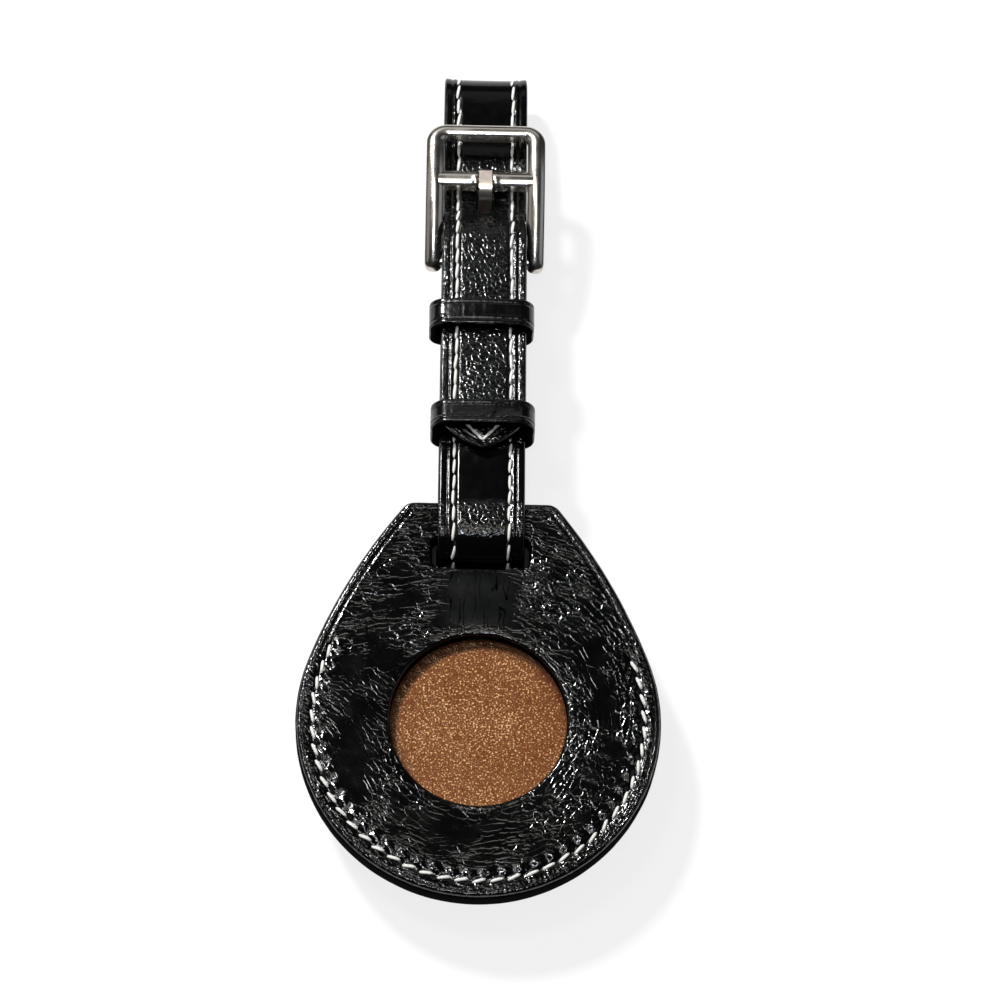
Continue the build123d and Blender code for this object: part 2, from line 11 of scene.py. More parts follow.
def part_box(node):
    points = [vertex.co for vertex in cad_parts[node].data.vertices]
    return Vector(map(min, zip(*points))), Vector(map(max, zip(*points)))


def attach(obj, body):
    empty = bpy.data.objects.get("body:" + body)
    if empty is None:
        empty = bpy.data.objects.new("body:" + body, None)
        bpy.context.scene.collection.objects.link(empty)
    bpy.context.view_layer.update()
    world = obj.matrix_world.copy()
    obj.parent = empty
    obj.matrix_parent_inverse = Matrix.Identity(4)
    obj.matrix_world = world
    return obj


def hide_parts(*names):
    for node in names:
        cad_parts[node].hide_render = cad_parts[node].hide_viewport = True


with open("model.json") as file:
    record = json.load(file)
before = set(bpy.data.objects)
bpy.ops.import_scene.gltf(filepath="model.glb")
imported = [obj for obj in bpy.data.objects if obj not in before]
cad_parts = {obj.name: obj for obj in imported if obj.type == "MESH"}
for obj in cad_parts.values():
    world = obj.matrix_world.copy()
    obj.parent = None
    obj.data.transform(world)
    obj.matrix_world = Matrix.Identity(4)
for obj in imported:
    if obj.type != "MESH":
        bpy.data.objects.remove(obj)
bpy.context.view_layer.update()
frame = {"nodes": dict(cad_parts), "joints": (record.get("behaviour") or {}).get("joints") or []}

# Lengths are in millimetres in the code below, and a mesh is written in metres.
MM = 0.001


# ---------------------------------------------------------------- camera and studio
def aim(position, target, roll=0.0):
    """World matrix of something that looks from a position at a target, rolled about its view."""
    back = (Vector(position) - Vector(target)).normalized()
    right = Vector((0, 0, 1)).cross(back).normalized()
    up = back.cross(right)
    turned_right = right * cos(roll) + up * sin(roll)
    turned_up = up * cos(roll) - right * sin(roll)
    matrix = Matrix((turned_right, turned_up, back)).transposed().to_4x4()
    matrix.translation = position
    return matrix


def towards(azimuth, elevation):
    """Unit vector at an azimuth, counted from -Y towards +X, and an elevation, in degrees."""
    turn, lift = radians(azimuth), radians(elevation)
    return Vector((sin(turn) * cos(lift), -cos(turn) * cos(lift), sin(lift)))


def add_object(name, data):
    """A new object in the scene for some data."""
    item = bpy.data.objects.new(name, data)
    bpy.context.scene.collection.objects.link(item)
    return item


VIEW_CENTER = Vector((2.9, 36.1, 10.0)) * MM
CAMERA_AZIMUTH, CAMERA_ELEVATION, CAMERA_ROLL = -3.3, 68.8, radians(4.15)
CAMERA_DISTANCE = 0.562
camera_data = bpy.data.cameras.new("camera")
camera_data.sensor_width = 36.0
camera_data.lens = 132.6
camera = add_object("camera", camera_data)
camera_place = VIEW_CENTER + towards(CAMERA_AZIMUTH, CAMERA_ELEVATION) * CAMERA_DISTANCE
camera.matrix_world = aim(camera_place, VIEW_CENTER, CAMERA_ROLL)
bpy.context.scene.camera = camera
bpy.context.scene.view_settings.view_transform = "Standard"


def softbox(name, azimuth, elevation, distance, width, height, power, colour=(1.0, 1.0, 1.0)):
    """A rectangular area lamp that looks at the middle of the tag."""
    data = bpy.data.lights.new(name, "AREA")
    data.shape = "RECTANGLE"
    data.size = width
    data.size_y = height
    data.energy = power
    data.color = colour
    lamp = add_object(name, data)
    lamp.matrix_world = aim(VIEW_CENTER + towards(azimuth, elevation) * distance, VIEW_CENTER)


# Name, azimuth, elevation, distance, width, height, power and colour of each lamp.
softbox("key_lamp", -141, 51, 0.9, 0.10, 0.10, 10.0)
softbox("overhead", 0, 87, 1.0, 0.20, 0.40, 0.8, (1.0, 0.95, 0.86))
softbox("window_light", -8, 70, 1.0, 0.07, 0.10, 1.5, (0.82, 0.90, 1.0))
softbox("back_card", 180, 38, 1.0, 0.80, 0.32, 0.45)
softbox("left_wall", -90, 33, 1.0, 0.80, 0.50, 0.38, (1.0, 0.96, 0.90))
softbox("right_wall", 90, 33, 1.0, 0.80, 0.50, 0.45, (0.86, 0.92, 1.0))
softbox("left_card", -117, 73, 0.9, 0.10, 0.16, 1.4)

# ---------------------------------------------------------------- sizes of the leather and metal
# They repeat the sizes of the solids that these pieces stand for.
BODY_RADIUS = 27.0
SIDE_RADIUS = 87.0
TOP_EDGE = 34.4
TOP_EDGE_HALF = 11.1
TOP_CORNER = 2.0
WINDOW_RADIUS = 13.25
SLOT_HALF_WIDTH = 7.4
BACK_SLOT_HALF_WIDTH = 6.6
SLOT_HALF_HEIGHT = 2.4
SLOT_CORNER = 1.3
SLOT_Y = 26.3
BACK_LINING = 0.7
BACK_LEATHER = 1.1

front_low, front_high = (corner.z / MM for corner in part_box("front_panel"))
facing_low, facing_high = (corner.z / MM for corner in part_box("pocket_facing"))
lining_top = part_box("back_lining")[1].z / MM
flange_high = lining_top - BACK_LINING
flange_low = flange_high - BACK_LEATHER


# ---------------------------------------------------------------- noise on whole arrays
def lattice(ix, iy, iz, seed):
    """Repeatable value in -1..1 for each whole-number cell, from an integer hash."""
    h = ix * 374761393 + iy * 668265263 + iz * 1274126177 + seed * 974711
    h = (h ^ (h >> 13)) * 1103515245
    h = (h ^ (h >> 16)) & 0xFFFF
    return h / 32767.5 - 1.0


def noise(x, y, z, period, seed):
    """Smooth noise in -1..1: cell values blended by the quintic fade 6t^5 - 15t^4 + 10t^3."""
    cells, fades = [], []
    for axis in (x, y, z):
        scaled = np.asarray(axis, float) / period
        cell = np.floor(scaled)
        t = scaled - cell
        cells.append(cell.astype(np.int64))
        fades.append(t * t * t * (t * (t * 6 - 15) + 10))
    total = 0.0
    for corner in range(8):
        steps = (corner & 1, corner >> 1 & 1, corner >> 2 & 1)
        weight = 1.0
        for step, fade in zip(steps, fades):
            weight = weight * (fade if step else 1 - fade)
        total = total + weight * lattice(*(c + s for c, s in zip(cells, steps)), seed)
    return total


def cloud(x, y, z, period, seed, octaves=3):
    """Sum of noises, each at half the period and half the height of the one before."""
    return sum(noise(x, y, z, period / 2**k, seed + k) / 2**k for k in range(octaves))


def furrows(x, y, z, period, seed, sharpness=6.0):
    """Thin valleys where the noise crosses zero: -exp(-(sharpness * noise)^2)."""
    return -np.exp(-((sharpness * cloud(x, y, z, period, seed, 2)) ** 2))


def bell(value, width):
    """exp(-(value / width)^2)"""
    return np.exp(-((value / width) ** 2))


def rise(value, start, end):
    """Smooth step from 0 at start to 1 at end: 3t^2 - 2t^3."""
    t = np.clip((value - start) / (end - start), 0, 1)
    return t * t * (3 - 2 * t)


def rounding(distance, radius):
    """How far an edge rounding of a radius drops at a distance in from the edge."""
    reach = np.clip(radius - distance, 0, radius)
    return radius - np.sqrt(radius**2 - reach**2)


# ---------------------------------------------------------------- meshes
def piece(name, points, faces, materials, body, slot, replaced=(), uv=None, shades=None, flow=None):
    """A smooth mesh object from points in millimetres, riding on a body.

    shades are the faces' material numbers.  uv and flow hold a value for each point.
    """
    mesh = bpy.data.meshes.new(name)
    mesh.from_pydata((points * MM).tolist(), [], faces.tolist() if hasattr(faces, "tolist") else faces)
    mesh.polygons.foreach_set("use_smooth", [True] * len(mesh.polygons))
    for material in materials:
        mesh.materials.append(material)
    if shades is not None:
        mesh.polygons.foreach_set("material_index", shades.astype(np.int32))
    if uv is not None:
        corners = np.zeros(len(mesh.loops), np.int32)
        mesh.loops.foreach_get("vertex_index", corners)
        mesh.uv_layers.new(name="UVMap").data.foreach_set("uv", uv[corners].ravel())
    if flow is not None:
        mesh.attributes.new("flow", "FLOAT_VECTOR", "POINT").data.foreach_set("vector", (flow * MM).ravel())
    mesh.update()
    item = add_object(name, mesh)
    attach(item, body)
    if replaced:
        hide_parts(*replaced)
    return item


def grid_faces(rows, columns, closed_rows=False, closed_columns=False, first=0):
    """Quads of a grid whose point (i, j) has the index first + i * columns + j."""
    i = np.arange(rows if closed_rows else rows - 1)[:, None]
    j = np.arange(columns if closed_columns else columns - 1)[None, :]
    next_i, next_j = (i + 1) % rows, (j + 1) % columns
    corners = [(i, j), (i, next_j), (next_i, next_j), (next_i, j)]
    quads = np.stack([row * columns + column for row, column in corners], -1)
    return quads.reshape(-1, 4) + first


def tube_faces(rows, columns, first=0):
    """Faces of a tube of rings whose first and last rings close to a pole each."""
    sheet = grid_faces(rows, columns, closed_columns=True, first=first)
    ring = np.arange(columns)
    following = (ring + 1) % columns
    last = first + (rows - 1) * columns
    pole = first + rows * columns
    start_cap = np.stack([following + first, ring + first, 0 * ring + pole], -1)
    end_cap = np.stack([last + ring, last + following, 0 * ring + pole + 1], -1)
    return sheet.tolist() + start_cap.tolist() + end_cap.tolist()


def tubes(shells):
    """Points and faces of tubes, each a grid of points whose rows are rings."""
    points, faces, first = [], [], 0
    for shell in shells:
        rows, columns = shell.shape[:2]
        faces += tube_faces(rows, columns, first)
        points += [shell.reshape(-1, 3), shell[:1].mean(1), shell[-1:].mean(1)]
        first += rows * columns + 2
    return np.concatenate(points), faces


def rounded_ring(center, radius, steps, fill):
    """Closed ring of a rounded rectangle about the origin, anticlockwise.

    The corners are arcs of some steps about (+-x, +-y) of a center, and fill(k, length) says how
    many points lie on the straight side after corner k.
    """
    corners = []
    for k, sign in enumerate(((1, 1), (-1, 1), (-1, -1), (1, -1))):
        angle = np.linspace(k * pi / 2, (k + 1) * pi / 2, steps)
        arc = radius * np.stack([np.cos(angle), np.sin(angle)], -1)
        corners.append(arc + np.array(center) * sign)
    ring = []
    for k, corner in enumerate(corners):
        gap = corners[(k + 1) % 4][0] - corner[-1]
        share = np.linspace(0, 1, fill(k, np.hypot(*gap)) + 2)[1:-1, None]
        ring += [corner, corner[-1] + gap * share]
    return np.concatenate(ring)


# ---------------------------------------------------------------- body outline
# The lower edge is an arc about the origin.  Each side is a longer arc that leaves it
# tangentially, and a small arc rounds its corner with the straight top edge.
side_offset = SIDE_RADIUS - BODY_RADIUS
corner_reach = np.hypot(TOP_EDGE_HALF, TOP_EDGE)
side_start = np.arctan2(TOP_EDGE, TOP_EDGE_HALF) - acos(
    (SIDE_RADIUS**2 - corner_reach**2 - side_offset**2) / (2 * side_offset * corner_reach)
)
side_center = np.array([-cos(side_start), -sin(side_start)]) * side_offset
corner_center_y = TOP_EDGE - TOP_CORNER
corner_drop = corner_center_y - side_center[1]
corner_center_x = side_center[0] + np.sqrt((SIDE_RADIUS - TOP_CORNER) ** 2 - corner_drop**2)
corner_center = np.array([corner_center_x, corner_center_y])
corner_start = np.arctan2(*(corner_center - side_center)[::-1])
# Each arc of the right half: its centre, radius, start and end angle.
OUTLINE_ARCS = (
    (np.zeros(2), BODY_RADIUS, -pi / 2, side_start),
    (side_center, SIDE_RADIUS, side_start, corner_start),
    (corner_center, TOP_CORNER, corner_start, pi / 2),
)


def outline_ring(inset, spacing=0.45):
    """Closed ring of points at an inset from the body's outline, anticlockwise from the bottom.

    Each arc's points are its centre + (radius - inset) (cos a, sin a), the top edge is straight,
    and the left half mirrors the right one.
    """
    half = []
    for center, radius, start, end in OUTLINE_ARCS:
        count = max(int(radius * (end - start) / spacing), 5)
        angle = np.linspace(start, end, count, endpoint=False)
        half.append(center + (radius - inset) * np.stack([np.cos(angle), np.sin(angle)], -1))
    count = int(corner_center[0] / spacing)
    across = np.linspace(corner_center[0], 0, count)
    half.append(np.stack([across, np.full(count, TOP_EDGE - inset)], -1))
    half = np.concatenate(half)
    return np.concatenate([half, (half * (-1, 1))[-2:0:-1]])


def edge_distance(x, y):
    """Distance in from the body's outline, negative outside it.

    It is the radius of the arc that a point faces less the distance to its centre, or the
    distance to the top edge where that is less.
    """
    across = np.abs(x)
    angle = np.arctan2(y, across)
    lower = BODY_RADIUS - np.hypot(x, y)
    side = SIDE_RADIUS - np.hypot(across - side_center[0], y - side_center[1])
    distance = np.where(angle < side_start, lower, side)
    distance = np.minimum(distance, TOP_EDGE - y)
    to_corner = np.hypot(across - corner_center[0], y - corner_center[1])
    corner_angle = np.arctan2(y - corner_center[1], across - corner_center[0])
    in_corner = (corner_angle > corner_start) & (corner_angle < pi / 2)
    return np.where(in_corner, TOP_CORNER - to_corner, distance)


def circle_ring(radius, count=190):
    """Closed ring of points round the window's axis, anticlockwise."""
    angle = np.linspace(0, 2 * pi, count, endpoint=False)
    return radius * np.stack([np.cos(angle), np.sin(angle)], -1)


def slot_ring(outset, half_width=SLOT_HALF_WIDTH, spacing=0.3):
    """Closed ring round the strap slot, anticlockwise, at an outset from its edge."""
    center = (half_width - SLOT_CORNER, SLOT_HALF_HEIGHT - SLOT_CORNER)
    ring = rounded_ring(center, SLOT_CORNER + outset, 9, lambda k, length: int(length / spacing))
    return ring + (0, SLOT_Y)


def slot_distance(x, y, half_width=SLOT_HALF_WIDTH):
    """Distance out from the strap slot's edge, negative inside it: that to a rounded rectangle."""
    dx = np.abs(x) - (half_width - SLOT_CORNER)
    dy = np.abs(y - SLOT_Y) - (SLOT_HALF_HEIGHT - SLOT_CORNER)
    outside = np.hypot(np.maximum(dx, 0), np.maximum(dy, 0))
    return outside + np.minimum(np.maximum(dx, dy), 0) - SLOT_CORNER


SEAM_INSET = 2.35
seam_lower_radius = BODY_RADIUS - SEAM_INSET
seam_side_radius = SIDE_RADIUS - SEAM_INSET


def seam_travel(x, y):
    """Length along the seam line from its lowest point, negative on the left."""
    across = np.abs(x)
    angle = np.arctan2(y, across)
    side_angle = np.arctan2(y - side_center[1], across - side_center[0])
    lower = (angle + pi / 2) * seam_lower_radius
    upper = (side_start + pi / 2) * seam_lower_radius + (side_angle - side_start) * seam_side_radius
    return np.sign(x) * np.where(angle < side_start, lower, upper)


def seam_point(travel):
    """Point and unit direction of the seam line at a length from its lowest point.

    The line is an arc about the origin, then one about the side's centre: the angle is the length
    over the radius, and the left half mirrors the right one.
    """
    length = np.abs(travel)
    angle = length / seam_lower_radius - pi / 2
    turn = side_start + (length - (side_start + pi / 2) * seam_lower_radius) / seam_side_radius
    on_side = angle > side_start
    angle = np.where(on_side, turn, angle)
    radius = np.where(on_side, seam_side_radius, seam_lower_radius)
    x = np.where(on_side, side_center[0], 0) + radius * np.cos(angle)
    y = np.where(on_side, side_center[1], 0) + radius * np.sin(angle)
    mirror = np.where(travel < 0, -1, 1)
    place = np.stack([x * mirror, y], -1)
    heading = np.stack([-np.sin(angle), np.cos(angle) * mirror], -1)
    return place, heading


STITCH_PITCH = 2.6
SEAM_START, SEAM_END = (-21.6, 11.4), (22.0, 9.6)
seam_start = seam_travel(*np.array(SEAM_START))
seam_end = seam_travel(*np.array(SEAM_END))
seam_count = int(round((seam_end - seam_start) / STITCH_PITCH))
seam_pitch = (seam_end - seam_start) / seam_count


# ---------------------------------------------------------------- relief of the body leathers
def seam_relief(x, y):
    """Leather drawn in by the U seam: a channel, a step down outside it and puckers inside it.

    For a distance d in from the edge, the channel is -0.20 exp(-((d - 2.35) / 0.55)^2), deeper at
    each stitch.  The step falls 0.10 outside it.  The puckers are 0.13 cos(phase) at d = 3.4, with
    one phase for each stitch, and noise moves them a little.
    """
    d = edge_distance(x, y)
    travel = seam_travel(x, y)
    sewn = rise(travel, seam_start - 2, seam_start + 1) * (1 - rise(travel, seam_end - 1, seam_end + 2))
    phase = 2 * pi * (travel - seam_start) / seam_pitch
    channel = -0.20 * bell(d - SEAM_INSET, 0.55) * (1 + 0.35 * np.cos(phase))
    step = -0.10 * (1 - rise(d, 1.2, 3.2))
    ripple = 0.13 * np.cos(phase + 0.7 * noise(x, y, 0 * x, 3.0, 5)) * bell(d - 3.4, 0.55)
    return sewn * (channel + step + ripple)


def crease_relief(x, y):
    """The hot creased line along the top and diagonal edges, which fades where the seam begins.

    It is 0.13 deep at 1.3 in from the edge, between two low beads.
    """
    d = edge_distance(x, y)
    shown = rise(y, 8.0, 14.0)
    return shown * (-0.13 * bell(d - 1.30, 0.17) + 0.04 * bell(d - 0.9, 0.2) + 0.03 * bell(d - 1.75, 0.25))


def hide_relief(x, y, seed):
    """Soft waves and shallow furrows of a full hide; the fine creases are in the finish.

    The waves are noise 14 mm across and 0.05 high, the furrows lie where a second one is 0.
    """
    z = 0 * x
    wander_x = x + 1.2 * noise(x, y, z, 5.0, seed + 31)
    wander_y = y + 1.2 * noise(x, y, z, 5.0, seed + 32)
    waves = 0.05 * cloud(x, y, z, 14.0, seed, 2)
    wrinkles = 0.018 * furrows(wander_x, wander_y * 1.3, z, 5.0, seed + 7, 3.0)
    return waves + wrinkles


def radial_wrinkles(x, y):
    """Furrows that run out from the window, most to the right, where the pocket bulges most.

    They are furrows of noise that changes fast with the angle and slowly with the radius, and
    they show between radii 13.4 and 23.
    """
    angle = np.arctan2(y, x)
    radius = np.hypot(x, y)
    lines = furrows(angle * 11 + 0.4 * noise(x, y, 0 * x, 3.0, 51), radius * 0.28, 0 * x, 1.3, 53, 2.2)
    side = bell(angle + 0.35, 0.85) + 0.6 * bell(angle + 1.8, 0.6)
    return 0.025 * lines * side * rise(radius, 13.4, 15.0) * (1 - rise(radius, 19.0, 23.0))


def wrinkle_flow(x, y):
    """Coordinates that run fast across the wrinkles and slowly along them, in millimetres.

    The third is sqrt((k x)^2 + y^2): circles round the window, flattened to level lines at the
    upper left, where k falls from 1 to 0.45.  The others are 5 (cos a, sin a) for the angle a.
    """
    angle = np.arctan2(y, x)
    flat = rise(y, -4.0, 10.0) * (1 - rise(x, -9.0, 6.0))
    ring = np.hypot((1 - 0.55 * flat) * x, y)
    return np.stack([5 * np.cos(angle), 5 * np.sin(angle), ring], -1)


def crease_share(x, y):
    """Share of creasing: 1, less 0.92 where the leather is drawn flat, more 0.7 beside the slot.

    Each place is an ellipse, and the share falls off as exp(-r^2) from its middle.
    """
    below_window = bell(np.hypot((x + 2) / 13.0, (y + 17.5) / 4.0), 1.0)
    at_left = bell(np.hypot((x + 19.0) / 5.0, (y + 4.0) / 11.0), 1.0)
    beside_slot = bell(np.hypot((x - 10.0) / 7.0, (y - 20.0) / 6.0), 1.0)
    return 1 - 0.92 * np.maximum(below_window, at_left) + 0.7 * beside_slot


def front_top(x, y):
    """Height of the front leather's grain side.

    It is the solid's top, less the roundings of the cut edges and a low where the leather dips to
    the window and the slot, plus the seam, the creased line, the hide's relief and a rough rim.
    """
    from_window = np.hypot(x, y) - WINDOW_RADIUS
    from_slot = slot_distance(x, y)
    d = edge_distance(x, y)
    edges = rounding(d, 0.55) + rounding(from_window, 0.42) + rounding(from_slot, 0.45)
    sunk = 0.12 * bell(from_window, 1.6) + 0.10 * bell(from_slot, 1.2)
    calm = rise(d, 0.25, 1.2) * rise(from_window, 0.1, 0.8) * rise(from_slot, 0.1, 0.8)
    relief = hide_relief(x, y, 3) + radial_wrinkles(x, y)
    rim = 0.035 * cloud(x, y, 0 * x, 1.3, 61, 2) * (1 - calm)
    return front_high - edges - sunk + seam_relief(x, y) + crease_relief(x, y) + calm * relief + rim


def flat_mesh(edge_rings, inner_rings, inside, spacing):
    """Triangles of a plan: its edge rings, rings beside them and a staggered lattice between."""
    loops = edge_rings + inner_rings
    edges, first = [], 0
    for ring in edge_rings:
        index = np.arange(len(ring))
        edges += (np.stack([index, (index + 1) % len(ring)], -1) + first).tolist()
        first += len(ring)
    rows = np.arange(-BODY_RADIUS, TOP_EDGE, spacing * sin(pi / 3))
    columns = np.arange(-BODY_RADIUS, BODY_RADIUS, spacing)
    x, y = np.meshgrid(columns, rows)
    x = (x + (np.arange(len(rows)) % 2)[:, None] * spacing / 2).ravel()
    y = y.ravel()
    field = inside(x, y)
    flat = np.concatenate(loops + [np.stack([x[field], y[field]], -1)])
    result = delaunay_2d_cdt([Vector(p) for p in flat.tolist()], edges, [], 0, 1e-7)
    return np.array([tuple(v) for v in result[0]]), np.array(result[2])


def closed_sheet(plan, triangles, solid, top, bottom):
    """Top and bottom surfaces over one plan, joined by a wall along the plan's open edges.

    solid(x, y) is positive where there is leather.  top and bottom give heights.
    """
    middle = plan[triangles].mean(1)
    triangles = triangles[solid(middle[:, 0], middle[:, 1]) > 0]
    a, b, c = (plan[triangles[:, k]] for k in range(3))
    turn = (b[:, 0] - a[:, 0]) * (c[:, 1] - a[:, 1]) - (b[:, 1] - a[:, 1]) * (c[:, 0] - a[:, 0])
    triangles = np.where(turn[:, None] > 0, triangles, triangles[:, ::-1])
    x, y = plan.T
    count = len(plan)
    sides = np.concatenate([triangles[:, (0, 1)], triangles[:, (1, 2)], triangles[:, (2, 0)]])
    low_first = np.sort(sides, axis=1)
    keys = low_first[:, 0] * count + low_first[:, 1]
    _, place, uses = np.unique(keys, return_index=True, return_counts=True)
    rim = sides[place[uses == 1]]
    wall = np.stack([rim[:, 1], rim[:, 0], rim[:, 0] + count, rim[:, 1] + count], -1)
    faces = triangles.tolist() + (triangles[:, ::-1] + count).tolist() + wall.tolist()
    points = np.concatenate([np.stack([x, y, face(x, y)], -1) for face in (top, bottom)])
    return points, faces


EDGE_STEPS = (0.07, 0.16, 0.28, 0.42, 0.6, 0.8, 1.0)


def body_sheet(
    name, window, slot_half, top, bottom, spacing, material, slot, replaced, field=None, more_rings=()
):
    """One leather of the body, from its window's radius, its slot's half width and its faces."""

    def solid(x, y):
        """Distance in from the nearest cut edge, negative where there is no leather."""
        distance = np.minimum(edge_distance(x, y), slot_distance(x, y, slot_half))
        if window:
            distance = np.minimum(distance, np.hypot(x, y) - window)
        return distance

    edge_rings = [outline_ring(0), slot_ring(0, slot_half)]
    inner_rings = [outline_ring(step) for step in EDGE_STEPS]
    inner_rings += [slot_ring(step, slot_half) for step in EDGE_STEPS]
    if window:
        edge_rings.append(circle_ring(window))
        inner_rings += [circle_ring(window + step) for step in EDGE_STEPS]

    def inside(x, y):
        """Where the lattice of points lies: clear of the rings along the edges, and in the field."""
        clear = solid(x, y) > EDGE_STEPS[-1] + spacing / 2
        return clear if field is None else clear & field(x, y)

    plan, triangles = flat_mesh(edge_rings, inner_rings + list(more_rings), inside, spacing)
    points, faces = closed_sheet(plan, triangles, solid, top, bottom)
    x, y = points[:, :2].T
    uv = np.stack([edge_distance(x, y), crease_share(x, y)], -1)
    flow = wrinkle_flow(x, y)
    piece(name, points, faces, [material], "pocket", slot, (replaced,), uv=uv, flow=flow)


def edge_band(name, ring, low, high, bulge, inward=False):
    """Painted edge: a bulged profile carried round a closed ring(offset), closed behind.

    The profile stands out by bulge * (1 - h^4) + ripples, for h from -1 at its foot to 1 at its
    top, and lies 0.25 mm behind the cut leather at both.
    """
    rows = 13
    h = np.linspace(-1, 1, rows)
    reach = np.where(np.abs(h) < 1, bulge * (1 - h**4), -0.25)
    side = -1 if inward else 1
    loops = [ring(side * offset) for offset in reach]
    columns = len(loops[0])
    flat = np.stack(loops)
    z = (low + high) / 2 + (high - low) / 2 * h[:, None] + np.zeros((rows, columns))
    normal = flat - np.stack([ring(side * (offset - 0.1)) for offset in reach])
    normal /= np.linalg.norm(normal, axis=-1, keepdims=True)
    ripple = 0.035 * cloud(flat[..., 0], flat[..., 1], z * 2.0, 2.4, 71, 2) * (1 - h[:, None] ** 4)
    flat = flat + normal * ripple[..., None]
    points = np.concatenate([flat, z[..., None]], -1).reshape(-1, 3)
    faces = grid_faces(rows, columns, closed_rows=True, closed_columns=True)
    if inward:
        faces = faces[:, ::-1]
    piece(name, points, faces, [edge_paint], "pocket", "glazed_leather")


# ---------------------------------------------------------------- materials
TIMES = {"operation": "MULTIPLY"}
PLUS = {"operation": "ADD"}
MINUS = {"operation": "SUBTRACT"}
SMOOTH = {"interpolation_type": "SMOOTHSTEP"}


def linear(hex_colour):
    """A #rrggbb sRGB colour as linear RGBA."""
    values = [int(hex_colour[k : k + 2], 16) / 255 for k in (1, 3, 5)]
    return tuple(v / 12.92 if v <= 0.04045 else ((v + 0.055) / 1.055) ** 2.4 for v in values) + (1.0,)


def feed(tree, node, *inputs, **named):
    """Gives a node's inputs, in order or by name, an output to link or a value to hold."""
    for name, value in [*enumerate(inputs), *named.items()]:
        socket = node.inputs[name.replace("_", " ") if isinstance(name, str) else name]
        if isinstance(value, bpy.types.NodeSocket):
            tree.links.new(value, socket)
        elif value is not None:
            socket.default_value = value


def add(tree, kind, *inputs, output=0, stops=(), **settings):
    """Adds a node and returns one of its outputs, or all of them for output None.

    settings are its properties or, by name, its inputs.  stops are the places and colours of a
    colour ramp.
    """
    node = tree.nodes.new("ShaderNode" + kind)
    properties = [name for name in settings if hasattr(node, name)]
    for name in properties:
        setattr(node, name, settings[name])
    feed(tree, node, *inputs, **{name: settings[name] for name in settings if name not in properties})
    for k, (place, colour) in enumerate(stops):
        elements = node.color_ramp.elements
        stop = elements[k] if k < 2 else elements.new(place)
        stop.position = place
        stop.color = linear(colour)
    return node.outputs if output is None else node.outputs[output]


def finish(name, **settings):
    """A material with one Principled surface; returns it, its tree and its shader."""
    material = bpy.data.materials.new(name)
    material.use_nodes = True
    tree = material.node_tree
    shader = tree.nodes["Principled BSDF"]
    feed(tree, shader, **settings)
    return material, tree, shader


def surface(tree, shader, height, depth, **sockets):
    """Gives the shader a bump of a depth in millimetres for a height of 1, and other sockets."""
    normal = add(tree, "Bump", Height=height, Strength=1.0, Distance=depth * MM)
    feed(tree, shader, Normal=normal, **sockets)


def per_metre(millimetres):
    """Scale of a texture whose cells are this many millimetres wide, in metres of coordinates."""
    return 1 / (millimetres * MM)


def combine(tree, *terms):
    """Sum of terms, each the product of its outputs and numbers."""
    total = None
    for product, *factors in terms:
        for factor in factors:
            product = add(tree, "Math", product, factor, **TIMES)
        total = product if total is None else add(tree, "Math", total, product, **PLUS)
    return total


def warped_place(tree, period, strength):
    """Object coordinates, and the same pushed about by noise, for a grain that isn't regular."""
    place = add(tree, "TexCoord", output="Object")
    wander = add(tree, "TexNoise", place, Scale=per_metre(period), Detail=2.0, output="Color")
    centred = add(tree, "VectorMath", wander, (0.5, 0.5, 0.5), **MINUS)
    push = add(tree, "VectorMath", centred, operation="SCALE", Scale=strength * MM)
    return place, add(tree, "VectorMath", place, push, **PLUS)


def patches(tree, place, size, detail, *limits, **kind):
    """Patches of a size in millimetres: a noise spread from two of its values to two others."""
    lumps = add(tree, "TexNoise", place, Scale=per_metre(size), Detail=detail)
    return add(tree, "MapRange", lumps, *limits, **kind)


def creases(tree, place, size, width):
    """0 in thin creases round cells of a size in millimetres, rising to 1 a width beside them."""
    away = add(tree, "TexVoronoi", place, feature="DISTANCE_TO_EDGE", Scale=per_metre(size))
    return add(tree, "MapRange", away, 0.0, width / size, 0.0, 1.0, **SMOOTH)


def away_from(tree, value, middle):
    """How far a value is from a middle."""
    return add(tree, "Math", add(tree, "Math", value, middle, **MINUS), 0.0, operation="ABSOLUTE")


def hairlines(tree, place, size, width):
    """0 on thin wandering lines, where a noise crosses its middle value, and 1 beside them."""
    lumps = add(tree, "TexNoise", place, Scale=per_metre(size), Detail=1.0)
    return add(tree, "MapRange", away_from(tree, lumps, 0.5), 0.0, width, 0.0, 1.0, **SMOOTH)


def within(tree, value, middle, half, fade):
    """1 where a value is within half of a middle, falling to 0 over fade beyond that."""
    away = away_from(tree, value, middle)
    return add(tree, "MapRange", away, half, half + fade, 1.0, 0.0, **SMOOTH)


def from_axis(tree, place):
    """Distance of a place from the upright axis."""
    flat = add(tree, "VectorMath", place, (1, 1, 0), **TIMES)
    return add(tree, "VectorMath", flat, operation="LENGTH", output="Value")


